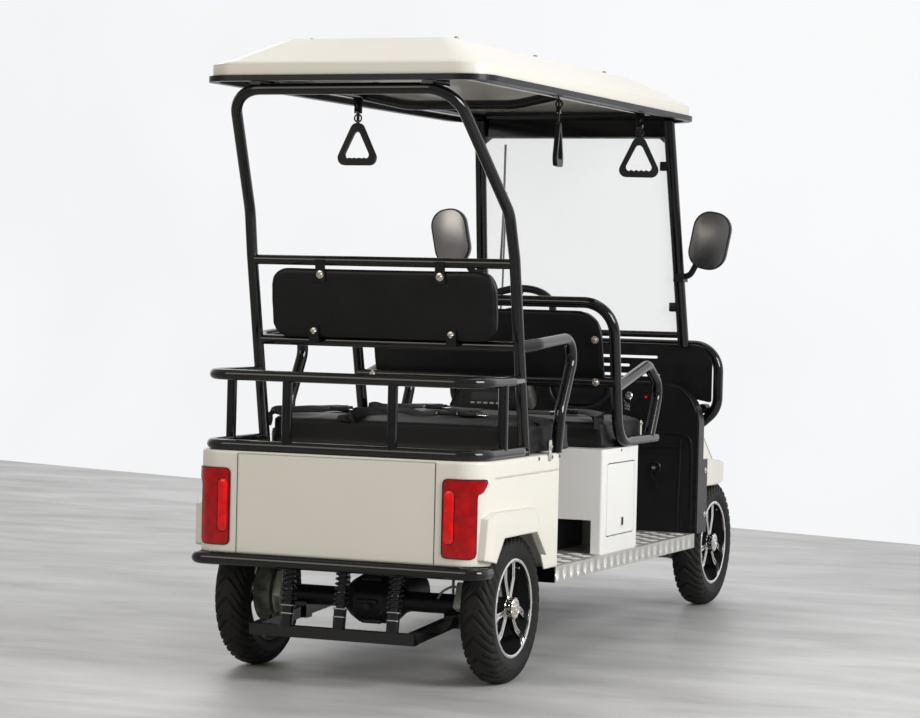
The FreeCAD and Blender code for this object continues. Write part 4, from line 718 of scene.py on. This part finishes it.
def tail_point(side, x, z, proud):
    """A point proud of the tub's rear face, round whose corner x is carried as an arc."""
    turn = max(x - CORNER_X, 0) / CORNER_RAD
    reach = CORNER_RAD + proud
    return Vector((side * (min(x, CORNER_X) + reach * sin(turn)), CORNER_Y - reach * cos(turn), z))


glow, bezels_and_painted_shade, seams, tub_fittings = Shape(), Shape(), Shape(), Shape()
# painted shade: a half ring of black moulding round the outer side of each lamp's glowing capsule,
# where its edge falls into shadow
shade = sorted((spot for spot in rounded_ring(17.5, 84, 17) if spot[0] > -6),
               key=lambda spot: spot[1])
for side in (-1, 1):
    glow.skin([[tail_point(side, GLOW_X + a, GLOW_Z + b, proud)
                for a, b in rounded_ring(15.5, 82, 15, inset)]
               for inset, proud in ((0, 3.6), (0, 5.4), (2.5, 7.2), (7, 8.4), (12, 8.8))])
    bezels_and_painted_shade.tube([tail_point(side, x, z, 3) for x, z in even_loop(LENS_EDGE, 9)], 1.9, 6, close=True)
    # the painted shade half ring beside the capsule, next to the real black gasket round the lens
    bezels_and_painted_shade.tube([tail_point(side, GLOW_X + a, GLOW_Z + b, 3.8) for a, b in shade], 1.5, 6)
    seams.tube([(side * 335.8, -341.6, z) for z in (394, 500, 600, 702)], 1.2, 6)
    for y in (132, 250, 316):
        bolt(tub_fittings, (side * 489.6, y, 700), RIGHT * side, 3.6, 6.5)
    for y in (-120, 60):
        bolt(tub_fittings, (side * 470, y, 727), UP, 4, 7)
for x in (-300, -100, 100, 300):
    bolt(tub_fittings, (x, -322, 727.5), UP, 4, 7)
glow.piece("tail_light_tubes", "lamp_glow")
bezels_and_painted_shade.piece("tail_light_edges_and_painted_shade", "black_moulding")
seams.piece("panel_seams", "black_moulding")
tub_fittings.piece("tub_screws", "steel")

# ---- tread sheet of the floor
CELL, FLOOR_BACK, FLOOR_TOP = 50, 336, 344  # each cell holds slanted bars, and the next crosses them
BOX_BACK, BOX_FRONT, BOX_HALF, SHIELD_BACK = 742, 1160, 486, 1734  # where the sheet is covered
SKIRT_CELL, SKIRT_SLANT, SKIRT_CELLS = 33, 0.9, 44
DIAGONALS = ((AHEAD + RIGHT).normalized(), (AHEAD - RIGHT).normalized())
SKIRT_DIAGONALS = ((AHEAD * SKIRT_SLANT + UP).normalized(), (AHEAD * -SKIRT_SLANT + UP).normalized())


def lozenge(shape, centre, along, across, out, length, width, rise):
    """One raised bar of tread sheet, pointed at both ends."""
    ring = ((-0.5, 0), (-0.4, -0.5), (0.4, -0.5), (0.5, 0), (0.4, 0.5), (-0.4, 0.5))
    shape.skin([[centre + along * a * long + across * b * wide + out * height for a, b in ring]
                for long, wide, height in ((length, width, -0.3), (length - 3, width * 0.5, rise))])


def tread_cell(shape, centre, along, across, out, length, gap, bars, rise):
    """Parallel bars side by side about a cell's centre."""
    for k in range(bars):
        lozenge(shape, Vector(centre) + across * gap * (k - (bars - 1) / 2), along, across, out,
                length, gap * 0.6, rise)


floor_marks, skirt_marks = Shape(), Shape()
for i in range(-9, 10):
    for j in range(29):
        x, y = i * CELL, FLOOR_BACK + j * CELL
        if (BOX_BACK < y < BOX_FRONT and abs(x) < BOX_HALF) or y > SHIELD_BACK:
            continue
        k = (i + j) % 2
        tread_cell(floor_marks, (x, y, FLOOR_TOP), DIAGONALS[k], DIAGONALS[1 - k], UP, 42, 10.5,
                   4, 1.9)
for side in (-1, 1):
    for j in range(SKIRT_CELLS):
        along = SKIRT_DIAGONALS[j % 2]
        tread_cell(skirt_marks, (side * 493, 318 + j * SKIRT_CELL, 318), along,
                   along.cross(RIGHT), RIGHT * side, 36, 6.6, 5, 0.7)
floor_marks.piece("floor_tread", "floor_aluminium", sharp=20)
skirt_marks.piece("skirt_tread", "floor_aluminium", sharp=20)

# ---- seat belts
WEB, THICK = 44, 2.4
REAR_TOP, FRONT_TOP = 816, 803  # just above the crowned cushions
BELT_ACROSS = (0.15, 1, 0.35)
REAR_BELTS = (  # the way of the webbing over the rear cushion, with heights from REAR_TOP
    ((-452, 100, -44), (-440, 112, -2), (-400, 190, 0), (-352, 270, 6), (-300, 312, 10),
     (-258, 322, 3), (-216, 318, 0), (-196, 250, 1), (-188, 160, 0), (-184, 104, -20)),
    ((-150, 102, -22), (-148, 118, -1), (-140, 220, 0), (-112, 300, 8), (-60, 318, 11),
     (-6, 316, 2), (52, 322, 6), (108, 328, 11), (170, 324, 3), (236, 306, 0)),
    ((236, 306, 0), (290, 290, 1), (350, 300, 3), (410, 292, 0), (450, 268, -4),
     (468, 248, -20), (476, 236, -44), (486, 228, -72), (490, 225, -94)))
FRONT_BELTS = (  # the same over the front cushion, from FRONT_TOP
    ((-430, 842, -41), (-424, 856, -2), (-400, 930, 0), (-330, 1010, 6), (-250, 1020, 9),
     (-160, 1000, 1), (-60, 985, 0)),
    ((430, 842, -41), (426, 856, -2), (410, 930, 0), (350, 1000, 8), (280, 1015, 11),
     (190, 1000, 2), (90, 985, 0)))
BUCKLES = (((-290, 322, REAR_TOP), (1, 0.1, 0)), ((100, 326, REAR_TOP), (1, 0.05, 0)),
           ((176, 322, REAR_TOP - 1), (1, -0.1, 0)), ((-240, 1016, FRONT_TOP - 1), (1, -0.1, 0)),
           ((262, 1012, FRONT_TOP), (-1, -0.1, 0)))


def buckle(shape, plate, centre, along, across):
    """Belt buckle body with its tongue plate."""
    up = along.cross(across).normalized()
    up = up if up.z > 0 else -up
    centre = Vector(centre)
    shape.block(centre, along, across, up, 34, 26, 17, 8, 3)
    shape.block(centre + along * 8 + up * 17, along, across, up, 12, 15, 2.4, 3, 1)
    plate.block(centre + along * 46 + up * 5, along, across, up, 18, 20, 3, 5, 1)
    plate.tube([centre - along * 38 + across * s + up * 8 for s in (-24, 24)], 3, 8)


belts, buckles, tongues, anchors = Shape(), Shape(), Shape(), Shape()
for top, ways in ((REAR_TOP, REAR_BELTS), (FRONT_TOP, FRONT_BELTS)):
    for way in ways:
        belts.strap(smooth_path([(x, y, top + z) for x, y, z in way], 7), BELT_ACROSS, WEB, THICK)
for centre, along in BUCKLES:
    along = Vector(along).normalized()
    buckle(buckles, tongues, centre, along, UP.cross(along))
for side in (-1, 1):
    for out, y, z, half_y, half_z, corner, bolt_up, head, washer in (
            (490.5, 226, 722, 13, 34, 10, 12, 6, 10), (483, 1142, 760, 9, 27, 8, 16, 5, 8)):
        anchors.block((side * out, y, z), AHEAD, UP, RIGHT * side, half_y, half_z, 3, corner, 0.8)
        bolt(anchors, (side * (out + 3), y, z + bolt_up), RIGHT * side, head, washer)
belts.piece("seat_belts", "webbing")
buckles.piece("belt_buckles", "black_moulding")
tongues.piece("belt_tongues", "chrome")
anchors.piece("belt_anchors", "brass")

# ---- leg shield
SHIELD_FACE, SHIELD_EDGE = 1759, 1759.5
SHIELD_RIBS = (  # y, radius, steps between points, then points as distance out and height
    (SHIELD_FACE, 4.5, 6, ((478, 348), (478, 500), (476, 650), (466, 694), (430, 710), (340, 712),
                           (300, 712))),
    (SHIELD_FACE, 5, 5, ((427, 348), (429, 500), (434, 690))),
    (SHIELD_FACE, 5.5, 1, ((434, 664), (300, 660))),
    (SHIELD_EDGE, 3.2, 8, ((497, 350), (497, 745), (488, 795), (462, 845), (420, 880),
                           (345, 893))))
SOCKET, KEY = Vector((336, SHIELD_FACE + 1, 583)), Vector((227, 1756, 846))
ribs, screws, socket, key_plate, warning = Shape(), Shape(), Shape(), Shape(), Shape()
for side in (-1, 1):
    for y, radius, steps, spots in SHIELD_RIBS:
        ribs.tube(smooth_path([(side * x, y, z) for x, z in spots], steps), radius, 8)
    for z in (410, 574):
        bolt(screws, (side * 503, 1846, z), RIGHT * side, 6, 11)
for half, y, z, radius in ((300, SHIELD_FACE, 712, 4.5), (300, SHIELD_FACE, 660, 5.5),
                           (345, SHIELD_EDGE, 893, 3.2)):
    ribs.tube([(-half, y, z), (half, y, z)], radius, 8)
socket.lathe(SOCKET, BACK, ((24, 0), (24, 6), (20, 10), (18, 10), (16, 6), (9, 6), (8, 20),
                            (6, 22), (0.3, 22)), 28)
socket.block(SOCKET + DOWN * 66, RIGHT, UP, BACK, 13, 20, 5, 5, 1.5)
socket.tube(smooth_path([(336, 1740, 583), (330, 1735, 560), (338, 1742, 536)], 6), 2.2, 8)
key_plate.lathe(SOCKET + BACK * 21, BACK, ((7, 0), (7, 1.5), (5, 2), (0.3, 2)), 20)
key_plate.lathe(KEY, BACK, ((15, 0), (15, 3), (12, 6), (9, 6.5), (9, 9), (0.3, 9)), 24)
key_plate.block(KEY + BACK * 9, UP, BACK, RIGHT, 3, 12, 2, 1, 0.4)
key_plate.tube(circle(KEY + BACK * 17 + DOWN * 14, RIGHT, UP, 13, 24), 1.2, 6, close=True)
for lean, drop in ((-5, 38), (6, 41)):  # the keys on the ring
    key_plate.block(KEY + BACK * 16 + DOWN * drop + RIGHT * lean, RIGHT, UP, BACK, 5, 13, 1.6, 4,
                    0.4)
warning.lathe((293, SHIELD_FACE, 843), BACK, ((4.5, 0), (4.5, 2), (3.5, 4), (0.3, 5)), 18)
ribs.piece("shield_ribs", "black_moulding")
screws.piece("shield_screws", "chrome")
socket.piece("charge_socket", "black_moulding")
warning.piece("warning_lamp", "lamp_glow")
key_plate.piece("socket_key", "chrome")

# ---- dash and controls
GAUGE, GAUGE_TILT = Vector((-326, 1757, 812)), radians(78)
FACE_UP = Vector((0, cos(GAUGE_TILT), sin(GAUGE_TILT)))
FACE_OUT = Vector((0, -sin(GAUGE_TILT), cos(GAUGE_TILT)))
HOUSING_DEEP, FRAME_DEEP, MARKS = 52, 57, 5
BIN_RIM = ((-86, 886), (-82, 850), (-62, 818), (-20, 798), (36, 792), (92, 800), (134, 826),
           (154, 856), (158, 886))
cluster, face, marks = Shape(), Shape(), Shape()


def on_gauge(shape, right, up, out, *sizes):
    """A rounded block on the tilted gauge housing."""
    shape.block(GAUGE + RIGHT * right + FACE_OUT * out + FACE_UP * up, RIGHT, FACE_UP, FACE_OUT,
                *sizes)


on_gauge(cluster, 0, 0, 0, 112, 50, HOUSING_DEEP, 26, 8)
on_gauge(cluster, 0, 0, HOUSING_DEEP, 86, 38, FRAME_DEEP - HOUSING_DEEP, 12, 2)
on_gauge(face, 0, 0, FRAME_DEEP, 60, 15, 2.5, 4, 1)
for k in range(MARKS):
    on_gauge(marks, k * 26 - 52, -24, FRAME_DEEP, 9, 4, 2.2, 2, 0.6)
on_gauge(marks, 66, 4, FRAME_DEEP, 6, 6, 3, 5.5, 1)
for x in (-97, 97):
    bolt(cluster, GAUGE + RIGHT * x + FACE_OUT * HOUSING_DEEP, FACE_OUT, 4, 6)
cluster.tube(smooth_path([(x, 1738, z) for x, z in BIN_RIM], 5), 9, 12)
cluster.tube(smooth_path([(x * 0.9 + 4, 1756, z - 6) for x, z in BIN_RIM], 5), 12, 12)
cluster.block((36, 1758, 850), RIGHT, UP, BACK, 104, 46, 16, 40, 5)
cluster.piece("gauge_housing", "black_moulding")
face.piece("gauge_glass", "battery_case")
marks.piece("gauge_marks", "steel")

# ---- steering wheel boss
WHEEL_TILT = radians(38)
boss = Shape()
boss.lathe((-165, 1510, 1135), (0, -sin(WHEEL_TILT), cos(WHEEL_TILT)), (
    (44, -26), (46, -10), (44, 4), (36, 9), (20, 11.5), (0.3, 12)), 36)
boss.piece("horn_pad", "black_moulding", "hand_wheel")

# ---- mirrors and grab handles
MIRROR, MIRROR_LEAN = Vector((519, 1775, 1429)), radians(11)
MIRROR_ARM = ((395, 1805.5, 1290), (420, 1802.5, 1295), (436, 1800.7, 1301), (448, 1800, 1314),
              (470, 1799, 1356), (495, 1798, 1403))
HANDLES = ((-366, 569, 0), (366, 569, 102), (366, 1398, 22))  # x, y and turn in degrees
glass, shells, clips = Shape(), Shape(), Shape()
for side in (-1, 1):
    leaning = Vector((side * sin(MIRROR_LEAN), 0, cos(MIRROR_LEAN)))
    centre = Vector((side * MIRROR.x, MIRROR.y, MIRROR.z))
    axes = (leaning.cross(AHEAD), leaning, AHEAD)
    shells.stack(centre, axes, 72, 108, 64, (
        (4, 2), (4, -3), (1.5, -4.5), (0, -2), (0, 14), (3, 30), (10, 42), (24, 51), (48, 56)), 8)
    glass.stack(centre, axes, 67.4, 103.4, 60, ((0, 1.5), (0, -1.6), (2, -2.4)), 8)
    shells.tube(smooth_path([(side * x, y, z) for x, y, z in MIRROR_ARM], 6), 11.5, 14)
for x, y, turn in HANDLES:
    t = radians(turn)
    along = Vector((cos(t), sin(t), 0))
    across = UP.cross(along)
    clips.block((x, y, 1822), along, across, UP, 13, 8, 22, 4, 1.5)
    clips.tube(circle((x, y, 1806), along, UP, 13, 20), 2.8, 8, close=True)
    clips.tube(circle((x, y, 1852), across, UP, 11, 18), 3, 8, close=True)
shells.piece("mirror_shells", "black_moulding")
glass.piece("mirror_glass", "mirror_face")
clips.piece("handle_clips", "black_tube")

# ---- roof fittings
ROOF_TOP, ROOF_UNDER = 2006, 1858
roof_bolts = Shape()
for side in (-1, 1):
    for y in (-50, 640, 1330):
        roof_bolts.lathe((side * 250, y, ROOF_TOP), UP, (
            (15, 0), (15, 3), (10, 4.5), (7, 4.5), (7, 13), (5, 15), (0.3, 15)), 18)
    for x in (110, 290):
        roof_bolts.lathe((side * x, -345, ROOF_UNDER), DOWN, (
            (10, 0), (10, 4), (7, 5), (6, 12), (0.3, 12)), 12)
roof_bolts.piece("roof_bolts", "steel")

# ---- screen wiper and clips
SCREEN_OUT = Vector((0, 0.98, 0.18))
POST_FOOT, POST_TOP = Vector((404, 1852, 1035)), Vector((375, 1700, 1869))  # the screen's posts
wiper, clamps = Shape(), Shape()
wiper.tube(smooth_path([(-352, 1852, 1096), (-330, 1846, 1180), (-308, 1806, 1420),
                        (-290, 1772, 1600)], 6), 4, 8)
wiper.strap(smooth_path([(-318, 1800, 1330), (-303, 1778, 1540), (-286, 1742, 1780)], 8),
            (0, 1, 0.2), 16, 5)
wiper.lathe((-352, 1842, 1096), SCREEN_OUT, ((17, 0), (17, 12), (12, 16), (0.3, 16)), 20)
for z in (1180, 1700):
    post = POST_FOOT.lerp(POST_TOP, (z - POST_FOOT.z) / (POST_TOP.z - POST_FOOT.z))
    for side in (-1, 1):
        clamps.block((side * (post.x - 28), post.y - 6, z), RIGHT, UP, BACK, 13, 17, 12, 4, 1.5)
wiper.piece("screen_wiper", "black_moulding")
clamps.piece("glass_clamps", "black_moulding")

# ---- nose and headlights
LAMP, LAMP_AIM = Vector((150, 2312, 545)), Vector((0, 72, -15)).normalized()
bezel, lens, louvres, turn_lenses = Shape(), Shape(), Shape(), Shape()
for side in (-1, 1):
    centre = Vector((side * LAMP.x, LAMP.y, LAMP.z))
    bezel.lathe(centre, LAMP_AIM, ((50, -6), (56, -4), (57, 2), (53, 5), (48, 5), (46, 1)), 40)
    lens.lathe(centre, LAMP_AIM, ((46, 0.5), (44, 3), (34, 6.5), (18, 8.6), (0.3, 9.2)), 40)
    lens.lathe(centre, LAMP_AIM, ((20, 7), (20, 9.6), (17, 9.8), (17, 8)), 30)
    turn_lenses.lathe((side * 480, 1909, 803), AHEAD,
                      ((17, -1), (16.5, 2), (12, 5), (0.3, 6.5)), 24)
for share, half in ((0.3, 110), (0.44, 96), (0.58, 82)):  # down the slope of the nose
    y, z = 2201 + 135 * share, 691 - 190 * share
    louvres.tube([(-half, y, z), (half, y, z)], 7, 10)
louvres.tube([(x, 2051, z) for x, z in ((-474, 585), (-420, 706), (-320, 800.6), (320, 800.6),
                                        (420, 706), (474, 585))], 1.4, 6)  # the bonnet's seam
bezel.piece("headlight_bezels", "chrome")
lens.piece("headlight_lenses", "lamp_clear")
louvres.piece("nose_louvres", "black_moulding")
turn_lenses.piece("turn_lenses", "lamp_amber")

# ---- pedals and seat doors
PEDALS_X, PEDAL_RIBS, RIB_GAP = (-260, -120), 6, 9
pedal_pads, seat_plugs = Shape(), Shape()
for x in PEDALS_X:
    for k in range(PEDAL_RIBS):
        z = 379 + k * RIB_GAP
        pedal_pads.tube([(x - 31, 1639.6, z), (x + 31, 1639.6, z)], 2.6, 8)
pedal_pads.piece("pedal_ribs", "tyre_rubber")
for side in (-1, 1):
    seat_plugs.lathe((side * 481.4, 952, 690), RIGHT * side, (
        (5, 0), (5, 0.8), (3.5, 1), (0.3, 0.4)), 14)
seat_plugs.piece("seat_base_plugs", "black_moulding")
for side, name in ((-1, "left"), (1, "right")):
    outward, pull = RIGHT * side, Shape()
    pull.block((side * 484.4, 967, 445), AHEAD, UP, outward, 9, 14, 1.6, 3, 0.5)
    pull.block((side * 486, 967, 448), AHEAD, UP, outward, 2, 8, 1, 1, 0.3)
    pull.piece("door_latch_" + name, "black_moulding", name + "_seat_door")

# ---- stage, light and camera
FLOOR_LOW, FLOOR_HIGH = (0.38, 0.378, 0.375), (0.54, 0.54, 0.54)
WALL_LOW, WALL_HIGH = (0.89, 0.895, 0.905), (0.945, 0.95, 0.96)
WALL_LEFT, WALL_RIGHT = Vector((-5.22, 5.14, 0)), Vector((0.71, 3.45, 0))
WALL_PAST, WALL_HEIGHT = 20, 9  # metres
CAMERA_YAW, CAMERA_DOWN, CAMERA_ROLL = 22.461, 2.755, 0.792  # degrees
CAMERA_PLACE, LENS_MM = Vector((3.645, -8.155 + AXLE_Y, 1.437)), 109.96
WORLD_LIGHT, WORLD_SEEN = 0.4, 0.92  # strength that lights the cart, and that the eye sees
LAMPS = (  # name, place, aim, size, watts, colour
    ("key", (5.0, -2.1, 3.1), (0, 0.1, 0.8), (2.4, 2.2), 250, (1, 1, 1)),
    ("fill", (-3.0, -7.0, 4.0), (0, 0, 0.8), (4.0, 3.2), 112, (1, 0.9, 0.76)),
    ("top", (0.4, 0.8, 8.0), (0, 0.2, 0), (5.0, 5.0), 115, (1, 1, 1)),
    ("front", (-3.4, 6.0, 5.2), (0, 0.8, 0.6), (4.6, 3.8), 200, (1, 1, 1)))


def floor_material():
    """Pale worn concrete, a little glossy, with long soft streaks."""
    material, tree, shader = new_material("stage_floor")
    tone, wear = noise(tree, 1.1, 6, 0.62, (1, 3.2, 1)), noise(tree, 3, 5, 0.6, (1, 2, 1))
    feed(tree, shader, {"Base Color": ramp_colour(tree, tone, FLOOR_LOW, FLOOR_HIGH),
                        "Roughness": span(tree, wear, 0.36, 0.52), "Specular IOR Level": 0.25})
    bump(tree, shader, noise(tree, 60, 4, 0.6), 0.1, 0.001)
    return material


def any_ray(tree, *kinds):
    """1 for a ray of any of these kinds, and 0 for the others."""
    rays = tree.nodes.new("ShaderNodeLightPath")
    seen = rays.outputs[kinds[0]]
    for kind in kinds[1:]:
        seen = maths(tree, "MAXIMUM", seen, rays.outputs[kind])
    return seen


def wall_material():
    """Near-white wall that the eye, gloss and glass see from its front, and light passes."""
    material, tree, shader = new_material("stage_wall")
    tree.nodes.remove(shader)
    seen = any_ray(tree, "Is Camera Ray", "Is Glossy Ray", "Is Transmission Ray")
    geometry = tree.nodes.new("ShaderNodeNewGeometry")
    front = maths(tree, "SUBTRACT", 1.0, geometry.outputs["Backfacing"])
    glow = tree.nodes.new("ShaderNodeEmission")
    clear = tree.nodes.new("ShaderNodeBsdfTransparent")
    mix = tree.nodes.new("ShaderNodeMixShader")
    feed(tree, glow, {"Color": ramp_colour(tree, noise(tree, 0.35), WALL_LOW, WALL_HIGH)})
    feed(tree, mix, {0: maths(tree, "MULTIPLY", seen, front), 1: clear.outputs["BSDF"],
                     2: glow.outputs["Emission"]})
    feed(tree, tree.nodes["Material Output"], {"Surface": mix.outputs["Shader"]})
    return material


def plane(name, corners, material):
    mesh = bpy.data.meshes.new(name)
    mesh.from_pydata(corners, [], [(0, 1, 2, 3)])
    mesh.materials.append(material)
    link(name, mesh)


plane("stage_floor", [(-40, -30, 0), (40, -30, 0), (40, 40, 0), (-40, 40, 0)], floor_material())
along_wall = (WALL_RIGHT - WALL_LEFT).normalized() * WALL_PAST
left_end, right_end = WALL_LEFT - along_wall, WALL_RIGHT + along_wall
plane("stage_wall", [left_end, right_end, right_end + UP * WALL_HEIGHT,
                     left_end + UP * WALL_HEIGHT], wall_material())

yaw, down, roll = (radians(a) for a in (CAMERA_YAW, CAMERA_DOWN, CAMERA_ROLL))
view = Vector((-sin(yaw) * cos(down), cos(yaw) * cos(down), -sin(down)))
level_right = view.cross(UP).normalized()
level_up = level_right.cross(view)
right = cos(roll) * level_right + sin(roll) * level_up
up = -sin(roll) * level_right + cos(roll) * level_up
camera = link("camera", bpy.data.cameras.new("camera"))
camera.data.lens = LENS_MM
camera.data.sensor_width = 36
camera.data.clip_end = 200
turn = Matrix((right, up, -view)).transposed()
camera.matrix_world = Matrix.Translation(CAMERA_PLACE) @ turn.to_4x4()
scene.camera = camera

for name, place, aim, size, watts, colour in LAMPS:
    lamp = bpy.data.lights.new(name, "AREA")
    lamp.shape = "RECTANGLE"
    lamp.size, lamp.size_y = size
    lamp.energy = watts
    lamp.color = colour
    made = link(name, lamp)
    made.location = place
    made.rotation_euler = (Vector(aim) - Vector(place)).to_track_quat("-Z", "Y").to_euler()
world = bpy.data.worlds.new("world")
scene.world = world
world.use_nodes = True
tree = world.node_tree
seen = any_ray(tree, "Is Camera Ray", "Is Transmission Ray")
feed(tree, tree.nodes["Background"], {
    "Color": (1.0, 0.995, 0.985, 1),
    "Strength": span(tree, seen, WORLD_LIGHT, WORLD_SEEN, 0.0, 1.0)})
scene.view_settings.view_transform = "Standard"
